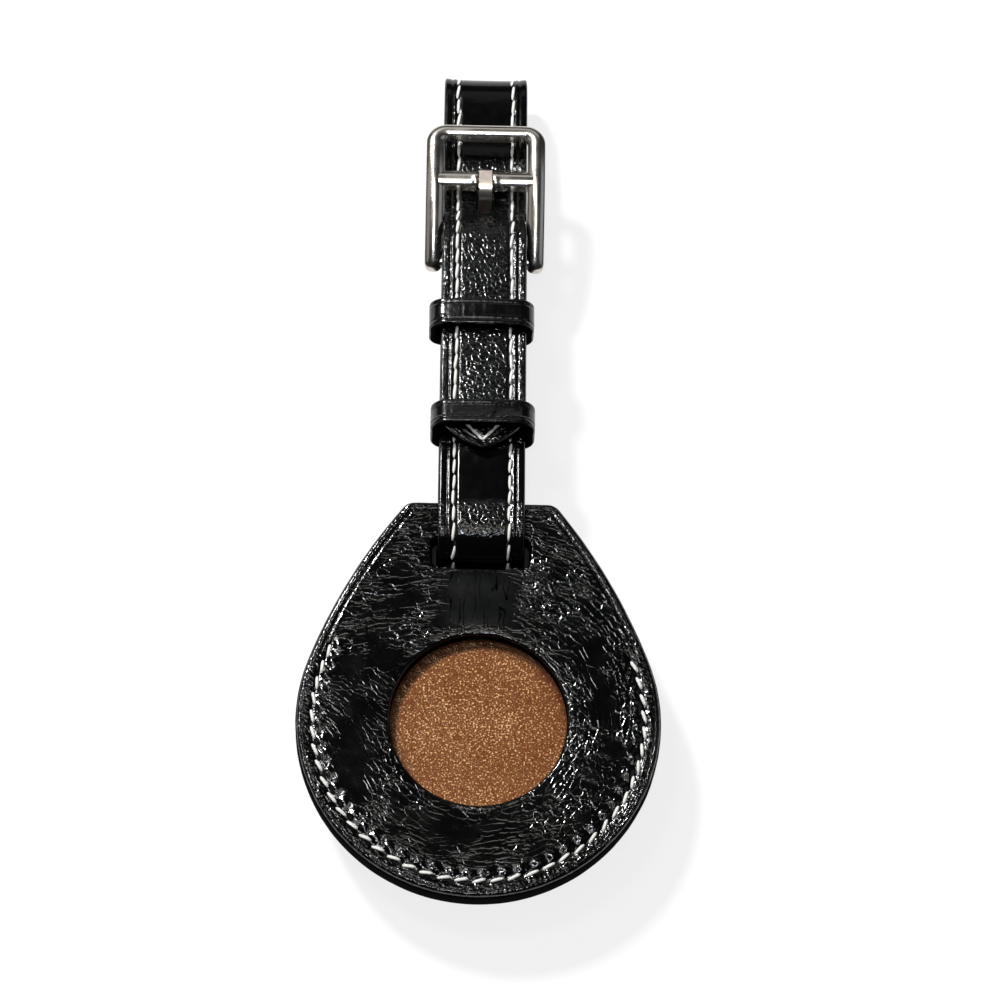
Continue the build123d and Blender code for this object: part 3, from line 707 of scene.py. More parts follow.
def body_calf():
    """Black calf, glazed under a glass roller: a hard shine on a net of fine creases.

    The heights are millimetres.  Long creases are drawn out along the mesh's "flow" coordinates,
    and rounder ones lie in other patches and beside the seam.  The UV map is the distance in from
    the edge and the share of creasing.  Crinkles fill the margin outside the seam, and two
    creased lines follow the top and diagonal edges.  Between the slot and the window the leather
    is worn duller by rubbing and has upright cracks, which are open and so don't shine.  There it
    is painted a lighter grey between the cracks: a painted sheen.
    """
    material, tree, shader = finish("glazed_black_calf", IOR=1.5)
    place, moved = warped_place(tree, 3.2, 1.3)
    x, y = add(tree, "SeparateXYZ", place, output=None)[:2]
    uv = add(tree, "TexCoord", output="UV")
    inset, creased = add(tree, "SeparateXYZ", uv, output=None)[:2]
    flow = add(tree, "Attribute", attribute_name="flow", output="Vector")
    drawn = add(tree, "VectorMath", flow, add(tree, "VectorMath", moved, place, **MINUS), **PLUS)
    longer = add(tree, "VectorMath", drawn, (1.25, 1.25, 1.0), **TIMES)
    rounder = add(tree, "VectorMath", drawn, (2.6, 2.6, 1.0), **TIMES)
    long_creases = creases(tree, longer, 0.95, 0.13)
    crackle = creases(tree, rounder, 1.0, 0.12)
    patch = patches(tree, place, 7.0, 2.0, 0.36, 0.56, 0.30, 1.0, **SMOOTH)
    aside = add(tree, "VectorMath", place, (1.0, 2.0, 3.0), **PLUS)
    other_patch = patches(tree, aside, 5.0, 2.0, 0.42, 0.58, 0.0, 1.0, **SMOOTH)
    faded = patches(tree, drawn, 2.6, 1.0, 0.36, 0.58, 0.25, 1.0, **SMOOTH)

    beside = within(tree, x, 0.0, 3.0 * MM, 5.5 * MM)
    rubbed_and_painted_sheen = combine(tree, (beside, within(tree, y, 18.6 * MM, 3.2 * MM, 2.8 * MM)))
    sound = add(tree, "Math", 1.0, rubbed_and_painted_sheen, **MINUS)
    upright = add(tree, "VectorMath", moved, (1.0, 0.14, 1.0), **TIMES)
    tall = add(tree, "VectorMath", place, (1.0, 0.4, 1.0), **TIMES)
    uncracked = patches(tree, tall, 1.6, 1.0, 0.36, 0.46, 1.0, 0.0)
    cracks = add(tree, "Math", hairlines(tree, upright, 1.5, 0.028), uncracked, operation="MAXIMUM")

    grain = add(tree, "TexNoise", place, Scale=per_metre(1.6), Detail=2.0)
    wobble = combine(tree, (inset,), (grain, 0.12))
    margin = add(tree, "MapRange", inset, 1.8, 2.3, 1.0, 0.0, **SMOOTH)
    puckers = within(tree, inset, 3.5, 0.5, 1.4)
    upper = add(tree, "MapRange", y, 9.0 * MM, 13.0 * MM, 0.0, 1.0)
    lower = add(tree, "Math", 1.0, combine(tree, (upper, 0.6)), **MINUS)
    crinkles = add(tree, "TexNoise", place, Scale=per_metre(0.55), Detail=1.0)
    inner_line = combine(tree, (within(tree, wobble, 1.42, 0.02, 0.14), upper))
    outer_line = within(tree, wobble, 0.78, 0.02, 0.12)
    unrubbed = combine(tree, (sound, creased))
    drawn_share = combine(tree, (patch, faded, unrubbed))
    round_share = add(tree, "Math", other_patch, puckers, operation="MAXIMUM")
    round_share = combine(tree, (round_share, unrubbed))
    height = combine(
        tree,
        (long_creases, drawn_share, 0.046),
        (crackle, round_share, 0.018),
        (cracks, rubbed_and_painted_sheen, 0.006),
        (crinkles, combine(tree, (margin, lower)), 0.11),
        (inner_line, -0.10),
        (outer_line, -0.06),
    )
    # Painted sheen: between its cracks the rubbed patch is painted a lighter grey than the rest of the
    # calf.
    painted_sheen_share = combine(tree, (cracks, rubbed_and_painted_sheen))
    tone_with_painted_light = add(tree, "ValToRGB", painted_sheen_share, stops=((0.0, "#020202"), (1.0, "#0b0c0c")))
    open_cracks = combine(tree, (rubbed_and_painted_sheen, add(tree, "Math", 1.0, cracks, **MINUS)))
    shine = patches(tree, place, 3.2, 3.0, 0.3, 0.7, 0.08, 0.14)
    surface(
        tree, shader, height, 1.0,
        Base_Color=tone_with_painted_light,
        Specular_IOR_Level=add(tree, "MapRange", open_cracks, 0.0, 0.7, 0.5, 0.0),
        Roughness=combine(tree, (shine,), (rubbed_and_painted_sheen, 0.05)),
    )
    return material


def strap_leather(name, crinkle, rest, gloss):
    """The same glazed calf on a strap: crinkled and glazed where it is handled or bent.

    crinkle is the height in millimetres of the crinkles, and rest the share of it that is left
    elsewhere.  There the leather shines less, because its specular level falls to 0.2.
    """
    material, tree, shader = finish(name, Base_Color=linear("#040404"), IOR=1.5)
    place, moved = warped_place(tree, 1.6, 0.25)
    y = add(tree, "SeparateXYZ", place, output=1)
    handled = within(tree, y, 67.5 * MM, 24 * MM, 2.5 * MM)
    bent = within(tree, y, 30.6 * MM, 2.2 * MM, 1.3 * MM)
    worked = add(tree, "Math", handled, bent, operation="MAXIMUM")
    share = add(tree, "MapRange", worked, 0.0, 1.0, rest, 1.0)
    wide = add(tree, "VectorMath", moved, (0.75, 1.2, 1.0), **TIMES)
    folds = add(tree, "TexNoise", wide, Scale=per_metre(0.95), Detail=1.5)
    fine = creases(tree, moved, 0.8, 0.12)
    height = combine(tree, (combine(tree, (folds, crinkle), (fine, 0.12 * crinkle)), share))
    surface(
        tree, shader, height, 1.0,
        Specular_IOR_Level=add(tree, "MapRange", worked, 0.0, 1.0, 0.2, 0.5),
        Roughness=patches(tree, place, 2.2, 3.0, 0.3, 0.7, gloss, gloss + 0.07),
    )
    return material


def painted_edge():
    """Edge paint, brushed on in coats and burnished: near black, with a faint gloss of its coat."""
    settings = {"Specular_IOR_Level": 0.0, "Coat_Weight": 0.02, "Coat_Roughness": 0.3}
    material, tree, shader = finish("burnished_edge_paint", Base_Color=linear("#030304"), **settings)
    _, moved = warped_place(tree, 0.8, 0.2)
    layered = add(tree, "Mapping", moved, Scale=(1, 1, 3))
    coats = add(tree, "TexNoise", layered, Scale=per_metre(0.9), Detail=4.0)
    surface(
        tree, shader, coats, 0.05,
        Roughness=add(tree, "MapRange", coats, 0.3, 0.7, 0.35, 0.55),
    )
    return material


def smooth_lining():
    """Black lining calf, rolled smooth: matt, with only its hair pits, 0.45 mm apart."""
    material, tree, shader = finish("smooth_lining_calf", Base_Color=linear("#12100f"))
    place, moved = warped_place(tree, 2.0, 0.4)
    pits = add(tree, "TexVoronoi", moved, feature="F1", Scale=per_metre(0.45))
    dust = add(tree, "TexNoise", place, Scale=per_metre(0.2), Detail=2.0)
    height = combine(tree, (pits,), (dust,))
    surface(
        tree, shader, height, 0.03,
        Roughness=patches(tree, place, 4.0, 2.0, 0.3, 0.7, 0.45, 0.62),
    )
    return material


def tanned_hide():
    """Vegetable-tanned cowhide, waxed, with a fine round grain that glints golden on its crowns.

    The grain is 0.26 mm wide, which is coarser than a real hide's so that it shows.  The golden
    glints come partly from its shine and partly from paint: the crowns are painted pale gold, a
    painted highlight.  The hide is a little shinier in the middle of the window, where fingers
    touch it, and paler there, because the painted glints are denser.  A dark brown rim is painted
    along the window's edge, wider at its upper left: a painted shadow of the rim.
    """
    settings = {"IOR": 1.48, "Specular_IOR_Level": 0.5, "Specular_Tint": linear("#ffe0b4")}
    material, tree, shader = finish("vegetable_tanned_hide", **settings)
    place, moved = warped_place(tree, 0.9, 0.12)
    crowns = add(tree, "TexNoise", moved, Scale=per_metre(0.26), Detail=0.5)
    cloudy = add(tree, "TexNoise", place, Scale=per_metre(8.0), Detail=3.0)
    touched_and_painted_glints = add(tree, "MapRange", from_axis(tree, place), 1.0 * MM, 10.0 * MM, 1.0, 0.0, **SMOOTH)
    tone_with_painted_light = combine(tree, (crowns, 0.9), (cloudy, 0.12), (touched_and_painted_glints, 0.03))
    # Painted highlight: the top stop paints the grain's crowns pale gold as glints, more of them in the
    # middle of the window.
    tone_with_painted_light = add(tree, "ValToRGB", tone_with_painted_light, stops=((0.42, "#5c331a"), (0.60, "#774424"), (0.73, "#d9ae7c")))
    # Painted shadow: the hide is painted dark brown along the window's rim, wider at its upper left, where
    # the rim's shadow falls; waxed is the share of this painted shadow.
    aside = add(tree, "VectorMath", place, (-0.5 * MM, 0.9 * MM, 0.0), **PLUS)
    reach = from_axis(tree, aside)
    waxed = add(tree, "MapRange", reach, 11.8 * MM, 13.2 * MM, 0.0, 0.95, **SMOOTH)
    rim_shadow_colour = linear("#3a170b")
    brown = add(tree, "Mix", waxed, *[None] * 5, tone_with_painted_light, rim_shadow_colour, data_type="RGBA", output=2)
    proud = patches(tree, place, 0.7, 1.0, 0.35, 0.65, 0.5, 1.0)
    proud = combine(tree, (proud, add(tree, "MapRange", touched_and_painted_glints, 0.0, 1.0, 0.85, 1.25)))
    height = combine(tree, (crowns, proud))
    worn = add(tree, "MapRange", cloudy, 0.3, 0.7, 0.18, 0.26)
    worn = add(tree, "Math", worn, combine(tree, (touched_and_painted_glints, 0.03)), **MINUS)
    surface(
        tree, shader, height, 0.06,
        Base_Color=brown,
        Roughness=worn,
    )
    return material


def waxed_thread():
    """Cream linen thread, waxed and twisted: slanting plies across each stitch."""
    material, tree, shader = finish("waxed_linen_thread", Roughness=0.45, Sheen_Weight=0.3)
    uv = add(tree, "TexCoord", output="UV")
    twist = {"bands_direction": "DIAGONAL", "Scale": 1.2, "Distortion": 0.6}
    plies = add(tree, "TexWave", uv, output="Fac", **twist)
    # Painted shade: the thread is painted a little darker in the grooves between its plies.
    surface(
        tree, shader, plies, 0.06,
        Base_Color=add(tree, "ValToRGB", plies, stops=((0.0, "#d8d5cc"), (1.0, "#fbfaf6"))),
    )
    return material


def polished_steel(name, colour, rough):
    """Cast stainless steel, buffed on a wheel: a soft mirror with faint streaks and hairlines.

    Real hairlines are some 0.01 mm wide.  These are 0.12 mm, as coarse as they need to show.
    """
    material, tree, shader = finish(name, Base_Color=linear(colour), Metallic=1.0)
    place, moved = warped_place(tree, 6.0, 0.3)
    streaked = add(tree, "Mapping", moved, Scale=(1.0, 0.08, 1.0))
    lines = add(tree, "TexNoise", streaked, Scale=per_metre(0.12), Detail=3.0)
    surface(
        tree, shader, lines, 0.002,
        Roughness=patches(tree, place, 2.5, 3.0, 0.3, 0.7, rough, rough + 0.08),
    )
    return material


def moulded(name, colour, rough, metallic, texture, depth, **more):
    """A plain moulded, plated or pressed finish with the faint unevenness of its tool."""
    material, tree, shader = finish(name, Base_Color=linear(colour), Metallic=metallic, **more)
    place = add(tree, "TexCoord", output="Object")
    skin = add(tree, "TexNoise", place, Scale=per_metre(texture), Detail=3.0)
    surface(
        tree, shader, skin, depth,
        Roughness=add(tree, "MapRange", skin, 0.3, 0.7, rough * 0.8, rough * 1.2),
    )
    return material


calf = body_calf()
strap_calf = strap_leather("glazed_strap_calf", 0.17, 0.06, 0.12)
keeper_calf = strap_leather("glazed_keeper_calf", 0.03, 0.5, 0.14)
edge_paint = painted_edge()
lining = smooth_lining()
tan_hide = tanned_hide()
thread = waxed_thread()
steel = polished_steel("buffed_stainless_steel", "#cfcac2", 0.17)
tongue_steel = polished_steel("brushed_stainless_steel", "#d2c6bb", 0.28)

# ---------------------------------------------------------------- body pieces
def flat_at(level):
    """A face of one height."""
    return lambda x, y: 0 * x + level


body_sheet(
    "front_leather", WINDOW_RADIUS, SLOT_HALF_WIDTH, front_top, flat_at(front_low), 0.30, calf,
    "glazed_leather", "front_panel",
)


def facing_top(x, y):
    """Height of the tan facing: pebbles of noise 0.02 high, and waves of it 0.03 high."""
    z = 0 * x
    pebbles = 0.020 * noise(x, y, z, 0.8, 81) + 0.03 * cloud(x, y, z, 5.0, 83)
    return facing_high - 0.05 + pebbles * rise(WINDOW_RADIUS - np.hypot(x, y), -1.0, 0.5)


def facing_field(x, y):
    """Where the facing's mesh is fine: in the window, and in one cell of 36 elsewhere."""
    sparse = np.floor(x / 0.32) % 6 + np.floor(y / 0.277) % 6 == 0
    return (np.hypot(x, y) < WINDOW_RADIUS + 1) | sparse


body_sheet(
    "tan_facing", None, SLOT_HALF_WIDTH, facing_top, flat_at(facing_low), 0.32, tan_hide,
    "tan_leather", "pocket_facing", field=facing_field,
)

# Each painted edge: its ring at an outset, its foot and top, its bulge and which way it faces.
edge_band("painted_edge", lambda out: outline_ring(-out), flange_low + 0.15, front_high - 0.42, 0.20)
edge_band(
    "window_edge_paint", lambda out: circle_ring(WINDOW_RADIUS + out), facing_high + 0.02,
    front_high - 0.34, 0.07, inward=True,
)
edge_band("slot_edge_paint", slot_ring, lining_top + 0.05, front_high - 0.36, 0.06, inward=True)
edge_band(
    "back_slot_edge_paint", lambda out: slot_ring(out, BACK_SLOT_HALF_WIDTH), flange_low + 0.2,
    lining_top - 0.1, 0.06, inward=True,
)


# ---------------------------------------------------------------- moulded back
JOIN_RADIUS = 20.33
back_node = frame["nodes"]["back_panel"]


def surface_height(radii, from_below):
    """Heights of the moulded back's outer or inner face at some radii, read from its solid."""
    heights = []
    for radius in radii:
        start = Vector((radius, 0, -5 if from_below else 30)) * MM
        heading = Vector((0, 0, 1 if from_below else -1))
        hit = back_node.ray_cast(start, heading)
        heights.append(hit[1].z / MM)
    return np.array(heights)


dish_radii = np.linspace(0.01, JOIN_RADIUS - 0.02, 180)
dish_below = surface_height(dish_radii, True)
dish_above = surface_height(dish_radii, False)


def back_height(x, y, profile, level):
    """Height of the moulded back: a profile turned about the axis, then the flat flange."""
    radius = np.hypot(x, y)
    return np.where(radius < JOIN_RADIUS - 0.03, np.interp(radius, dish_radii, profile), level)


def back_grain(x, y):
    """Drawn furrows of wet-moulded leather on the dish's side, and waves of the hide elsewhere."""
    radius, angle = np.hypot(x, y), np.arctan2(y, x)
    side = rise(radius, 13.0, 15.5) * (1 - rise(radius, 18.5, 22.0))
    pulled = furrows(angle * 14 + 0.5 * noise(x, y, 0 * x, 3.0, 91), radius * 0.2, 0 * x, 1.3, 93, 2.6)
    return 0.7 * hide_relief(x, y, 95) + 0.05 * side * pulled


def back_low(x, y):
    """Height of the back leather's grain side, which faces down.

    It is the moulded back's, plus the roundings of the cut edges, less the relief.
    """
    d = edge_distance(x, y)
    from_slot = slot_distance(x, y, BACK_SLOT_HALF_WIDTH)
    edges = rounding(d, 0.5) + rounding(from_slot, 0.45)
    calm = rise(d, 0.25, 1.2) * rise(from_slot, 0.1, 0.8)
    relief = seam_relief(x, y) + crease_relief(x, y) + calm * back_grain(x, y)
    return back_height(x, y, dish_below, flange_low) + edges - relief


# Rings close together on the dish's side and bend, and coarse on its flat middle.
dish_rings = [circle_ring(radius) for radius in (*np.arange(11.4, 19.9, 0.12), *np.arange(0.6, 11.2, 0.6))]
body_sheet(
    "back_leather", None, BACK_SLOT_HALF_WIDTH,
    lambda x, y: back_height(x, y, dish_above, flange_high) - 0.02, back_low, 0.36, calf,
    "glazed_leather", "back_panel",
    field=lambda x, y: (np.hypot(x, y) > 20.1) | (np.hypot(x, y) < 11.2), more_rings=dish_rings,
)

# ---------------------------------------------------------------- strap
STRAP_HALF = 6.5
KEEPER_ROOM = 6.4
OUTER_LEATHER = 1.2
LINING_LEATHER = 0.8
FILLER = 0.4
FILLER_EDGE = (3.55, 4.35)
LOOP_LINE = 4.3
BILLET_LINE = 6.8
WRAP_RADIUS = 1.25
TIP_S = 10.8
TIP_LENGTH = 4.6
FOLD_S = 74.2
STITCH_ROW = 4.2

joints = {joint["name"]: joint for joint in frame["joints"]}
pivot = np.array(joints["strap_swing"]["pos_m"]) / MM
along = np.array(joints["keeper_slide"]["axis"])
upward = np.array([0.0, -along[2], along[1]])
across = np.array([1.0, 0.0, 0.0])


def in_strap(x, s, level):
    """Points of space for a sideways place, a place up the strap and a level above its pivot."""
    return pivot + x[..., None] * across + s[..., None] * along + level[..., None] * upward


def along_strap(place):
    """How far up the strap from its bend a point of the frame is."""
    return float((np.array(place) / MM - pivot) @ along)


BUCKLE_BAR_S = along_strap(joints["buckle_pivot"]["pos_m"])
SLIDING_KEEPER_S = along_strap(joints["keeper_slide"]["pos_m"])
FIXED_KEEPER_S = along_strap(sum(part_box("fixed_keeper"), Vector()) / 2)
LINING_END_S = BUCKLE_BAR_S - 5.0
FILLER_END_S = BUCKLE_BAR_S - 8.0
MIDDLE_BAR_S = BUCKLE_BAR_S + 11.7
HOLE_S = MIDDLE_BAR_S - 2.6
BILLET_BEND, BILLET_BEND_RADIUS = radians(28.955), 10.0
BILLET_BEND_S = MIDDLE_BAR_S - 1.3 - 2 * BILLET_BEND_RADIUS * sin(BILLET_BEND)
TURN_BACK_BEND, TURN_BACK_RADIUS = radians(32.86), 5.0
TURN_BACK_S = FIXED_KEEPER_S - 2.3
TURN_BACK_END = 1.6

tip_rounding = 1.2
tip_start_s = TIP_S + 0.186
# The run of the line between outer leather and lining, as straight lengths and as turns of a
# radius, positive to the left.
run_down = 2 * BILLET_BEND_RADIUS * sin(BILLET_BEND)
STRAP_RUN = (
    (BILLET_BEND_S - tip_start_s, 0),  # the billet, from its tip up to the buckle
    (BILLET_BEND_RADIUS, -BILLET_BEND),  # down from the middle bar, in two bends
    (BILLET_BEND_RADIUS, BILLET_BEND),
    (FOLD_S - BILLET_BEND_S - run_down, 0),  # on to the fold at the far end
    (LOOP_LINE, -pi),  # the fold
    (FOLD_S, 0),  # back under the buckle to the pocket
    (LOOP_LINE, -pi),  # up through the pocket's slot
    (BUCKLE_BAR_S, 0),  # along the front to the buckle's bar
    (WRAP_RADIUS, -pi),  # round the bar
    (BUCKLE_BAR_S - TURN_BACK_S, 0),  # back under the front
    (TURN_BACK_RADIUS, -TURN_BACK_BEND),  # in against it, in two bends
    (TURN_BACK_RADIUS, TURN_BACK_BEND),
    (TURN_BACK_END, 0),  # the sewn end
)
# Travelled lengths at which the parts of the run start: the fold at the strap's far end, the
# lower run, the front run up to the bar, and the wrap round the bar.
lengths = [size * abs(turn) if turn else size for size, turn in STRAP_RUN]
starts = np.concatenate([[0], np.cumsum(lengths)])
fold_start, lower_start = starts[4:6]
front_start, wrap_start = starts[7:9]
strap_end = starts[13]


def strap_place(travel):
    """Positions along and above the strap, and headings, at travelled lengths of its line.

    Each part of the run starts where the one before it ends.  A turn's points are its centre +
    radius (sin a, -cos a) for the heading a, and a straight part's are start + length (cos a, sin a).
    """
    travel = np.asarray(travel, float)
    s, level, heading = (np.zeros_like(travel) for _ in range(3))
    at_s, at_level, at_heading = tip_start_s, BILLET_LINE, 0.0
    for k, (size, turn) in enumerate(STRAP_RUN):
        part = (travel >= starts[k]) & ((travel < starts[k + 1]) | (k == len(STRAP_RUN) - 1))
        gone = travel - starts[k]
        if turn:
            side = np.sign(turn)
            angle = at_heading + side * gone / size
            center_s = at_s - side * size * sin(at_heading)
            center_level = at_level + side * size * cos(at_heading)
            s = np.where(part, center_s + side * size * np.sin(angle), s)
            level = np.where(part, center_level - side * size * np.cos(angle), level)
            heading = np.where(part, angle, heading)
            final = at_heading + turn
            at_s = center_s + side * size * sin(final)
            at_level = center_level - side * size * cos(final)
            at_heading = final
        else:
            s = np.where(part, at_s + gone * cos(at_heading), s)
            level = np.where(part, at_level + gone * sin(at_heading), level)
            heading = np.where(part, at_heading, heading)
            at_s += size * cos(at_heading)
            at_level += size * sin(at_heading)
    return s, level, heading


def strap_space(x, travel, outward):
    """Points of space for a sideways place, a travelled length and a height off the line."""
    s, level, heading = strap_place(travel)
    s = s - outward * np.sin(heading)
    level = level + outward * np.cos(heading)
    return in_strap(x, s, level)


def circle_through(a, b, c):
    """Centre and radius of the circle through three points."""
    (ax, ay), (bx, by), (cx, cy) = a, b, c
    d = 2 * (ax * (by - cy) + bx * (cy - ay) + cx * (ay - by))
    a2, b2, c2 = ax**2 + ay**2, bx**2 + by**2, cx**2 + cy**2
    x = (a2 * (by - cy) + b2 * (cy - ay) + c2 * (ay - by)) / d
    y = (a2 * (cx - bx) + b2 * (ax - cx) + c2 * (bx - ax)) / d
    return x, y, np.hypot(ax - x, ay - y)


tip_x, tip_y, tip_radius = circle_through(
    (0, TIP_S), (2 * STRAP_HALF * 0.28, TIP_S + TIP_LENGTH * 0.44), (STRAP_HALF, TIP_S + TIP_LENGTH)
)


def strap_half_width(travel):
    """Half the strap's width: an arc that narrows to the rounded tip, then constant."""
    s = tip_start_s + travel
    reach = np.sqrt(np.maximum(tip_radius**2 - (s - tip_y) ** 2, 0))
    side = np.where(tip_x > 0, tip_x - reach, tip_x + reach)
    cap = np.sqrt(np.maximum(tip_rounding**2 - np.maximum(tip_rounding - travel, 0) ** 2, 1e-4))
    width = np.where(travel < 0.16, np.minimum(cap, side), side)
    return np.clip(np.where(s > TIP_S + TIP_LENGTH, STRAP_HALF, width), 0.02, STRAP_HALF)


# The V behind the tip starts 1.5 mm from it, and its arms rise 1.04 along for 1 across.
V_INSET, V_SLOPE = 1.5, 1.04
V_SINE = 0.72
V_FOOT = TIP_S + V_INSET - tip_start_s


def tip_stitch_distance(x, travel):
    """Distance from the two sewn lines that meet in a V behind the tip."""
    return (np.abs(x) - (travel + tip_start_s - TIP_S - V_INSET) / V_SLOPE) * V_SINE


def strap_top(x, travel):
    """Height of the strap's grain side above its line.

    A filler lifts the middle between the sewn rows, except near the fold, where the middle is
    drawn down instead.  A crease runs 1.2 mm in from each edge, a raised bead inside it, and the
    rows lie in channels that each stitch pulls deeper.
    """
    half = strap_half_width(travel)
    slope = (strap_half_width(travel + 0.02) - strap_half_width(travel - 0.02)) / 0.04
    edge = (half - np.abs(x)) / np.sqrt(1 + np.minimum(slope, 4) ** 2)
    filler_tip = TIP_S + TIP_LENGTH - tip_start_s
    filled = rise(travel, filler_tip - 0.8, filler_tip + 0.3)
    filler_end = front_start + FILLER_END_S
    filled = filled * (1 - rise(travel, filler_end - 0.5, filler_end + 0.6))
    past_fold = rise(travel, lower_start + 5, lower_start + 9)
    filled = filled * (1 - rise(travel, fold_start - 13, fold_start - 9) * (1 - past_fold))
    unfolded = rise(travel, lower_start - 4, lower_start + 2)
    folded = rise(travel, fold_start - 2, fold_start + 4) * (1 - unfolded)
    crown = FILLER * (1 - rise(np.abs(x), *FILLER_EDGE)) * filled + 0.05 * bell(x, 4.0) * filled
    crown = crown - 0.30 * folded * (1 - (x / half) ** 4)
    at_tip = travel < 4.6
    row = np.where(at_tip, tip_stitch_distance(x, travel), np.abs(x) - row_place(travel))
    pull = 1 + 0.3 * np.cos(2 * pi * travel / STITCH_PITCH)
    channel = -0.13 * bell(row, 0.34) * pull
    crease = -0.09 * bell(edge - 1.2, 0.16) + 0.04 * bell(edge - 1.65, 0.22)
    z = 0 * x
    pebbles = 0.010 * noise(x, travel, z, 0.9, 101)
    hide = 0.02 * furrows(x, travel * 1.4, z, 3.4, 107, 3.0) + 0.03 * cloud(x, travel, z, 6.0, 109)
    calm = rise(edge, 0.2, 0.9)
    bead = 0.03 * noise(x * 0.6, travel, z, 0.5, 111) * bell(edge - 1.6, 0.35)
    return (
        OUTER_LEATHER - 0.06 + crown - rounding(edge, 0.34) + channel + crease + bead
        + calm * (pebbles + hide) * grain_share(travel)
    )


def row_place(travel):
    """Sideways place of the sewn row, which wanders a little."""
    return STITCH_ROW + 0.08 * noise(travel, 0 * travel, 0 * travel, 9.0, 113)


def grain_share(travel):
    """How strongly the grain stands: full on the worn billet, soft near the fold."""
    past_fold = rise(travel, lower_start + 20, lower_start + 30)
    return 1.0 - 0.75 * rise(travel, 42.0, 46.0) * (1 - past_fold)


# Distances in from the strap's edge at which its grain side has a row of points, close together
# where the edge rounds, at the crease, at the bead and beside the sewn row.
EDGE_ROWS = (
    0, 0.05, 0.12, 0.22, 0.36, 0.55, 0.75, 0.92, 1.04, 1.12, 1.2, 1.28, 1.36, 1.48, 1.62, 1.76,
    1.88, 1.98, 2.08, 2.18, 2.28, 2.4, 2.54, 2.7, 2.9, 3.12, 3.36,
)
TOP_COLUMNS = 2 * (len(EDGE_ROWS) + 12) - 1
SIDE_COLUMNS = 5
LOW_COLUMNS = 17
TIP_FINE, TIP_END = 0.16, 5.2


def strap_sections():
    """Travelled lengths, and the sideways places and heights of the sections there.

    A section is the grain side strap_top(x), a side that bulges by 0.07 (1 - u^2) from top to
    bottom, the lining's side with edges rounded to 0.2, and the other side.
    """
    share = np.concatenate([EDGE_ROWS, np.linspace(3.6, STRAP_HALF, 12)]) / STRAP_HALF
    top_share = np.concatenate([share - 1, (1 - share)[-2::-1]])
    rows = [TIP_FINE * (np.arange(8) / 8) ** 2, np.arange(TIP_FINE, TIP_END, 0.12)]
    stops = (TIP_END, lower_start, wrap_start, strap_end)
    for first, last, spacing in zip(stops, stops[1:], (0.25, 0.3, 0.2)):
        rows.append(np.linspace(first, last, int((last - first) / spacing), endpoint=False))
    rows.append([strap_end])
    travel = np.concatenate(rows)[:, None]
    half = strap_half_width(travel)
    top_x = half * top_share
    top_n = strap_top(top_x, travel + 0 * top_x)
    lining_end = front_start + LINING_END_S
    lined = 1 - rise(travel, lining_end - 0.05, lining_end + 0.05)
    low_x = half * np.linspace(1, -1, LOW_COLUMNS)
    low_edge = (half - np.abs(low_x)).clip(0, None)
    low_n = -LINING_LEATHER * lined + 0.03 + rounding(low_edge, 0.2) * np.ones_like(low_x)
    t = np.linspace(0, 1, SIDE_COLUMNS + 2)[1:-1]
    side_x = half + 0.07 * (1 - (2 * t - 1) ** 2)
    right_n = top_n[:, -1:] + (low_n[:, :1] - top_n[:, -1:]) * t
    left_n = low_n[:, -1:] + (top_n[:, :1] - low_n[:, -1:]) * t
    section_x = np.concatenate([top_x, side_x, low_x, -side_x], axis=1)
    section_n = np.concatenate([top_n, right_n, low_n, left_n], axis=1)
    return travel + 0 * section_x, section_x, section_n


travel, section_x, section_n = strap_sections()
row_count, column_count = section_x.shape
strap_points, strap_faces = tubes([strap_space(section_x, travel, section_n)])
# Calf above, edge paint at the two sides and at both ends, and lining below.
shade = np.zeros(column_count, int)
right_side = TOP_COLUMNS - 1
lining_side = right_side + SIDE_COLUMNS + 1
shade[right_side:] = 1
shade[lining_side : lining_side + LOW_COLUMNS - 1] = 2
strap_shades = np.concatenate([np.tile(shade, row_count - 1), np.ones(2 * column_count, int)])
strap = piece(
    "strap_leather", strap_points, strap_faces, [strap_calf, edge_paint, lining], "strap",
    "glazed_leather", ("strap_outer", "strap_lining", "strap_filler"), shades=strap_shades,
)


def prism(outline, low, high):
    """Closed prism over an outline of (x, s) points between two levels of the strap."""
    count = len(outline)
    flat = np.asarray(outline)
    points = [in_strap(*flat.T, np.full(count, level)) for level in (low, high)]
    index = np.arange(count)
    following = (index + 1) % count
    sides = np.stack([index, following, following + count, index + count], -1).tolist()
    return np.concatenate(points), sides + [index[::-1].tolist(), (index + count).tolist()]


CUT_MERGE = 0.002
SHARP_ANGLE = radians(50)


def cut(item, points, faces):
    """Cuts a closed shape out of a piece and keeps the edges of the cut sharp."""
    mesh = bpy.data.meshes.new("cutter")
    mesh.from_pydata((points * MM).tolist(), [], faces)
    cutter = add_object("cutter", mesh)
    modifier = item.modifiers.new("cut", "BOOLEAN")
    modifier.object = cutter
    modifier.operation = "DIFFERENCE"
    modifier.solver = "EXACT"
    evaluated = item.evaluated_get(bpy.context.evaluated_depsgraph_get())
    cut_mesh = bpy.data.meshes.new_from_object(evaluated)
    item.modifiers.remove(modifier)
    item.data = cut_mesh
    bpy.data.objects.remove(cutter)
    build = bmesh.new()
    build.from_mesh(cut_mesh)
    bmesh.ops.remove_doubles(build, verts=build.verts, dist=CUT_MERGE * MM)
    bmesh.ops.dissolve_degenerate(build, edges=build.edges, dist=CUT_MERGE * MM)
    bmesh.ops.triangulate(build, faces=[face for face in build.faces if len(face.verts) > 4])
    build.to_mesh(cut_mesh)
    build.free()
    cut_mesh.set_sharp_from_angle(angle=SHARP_ANGLE)


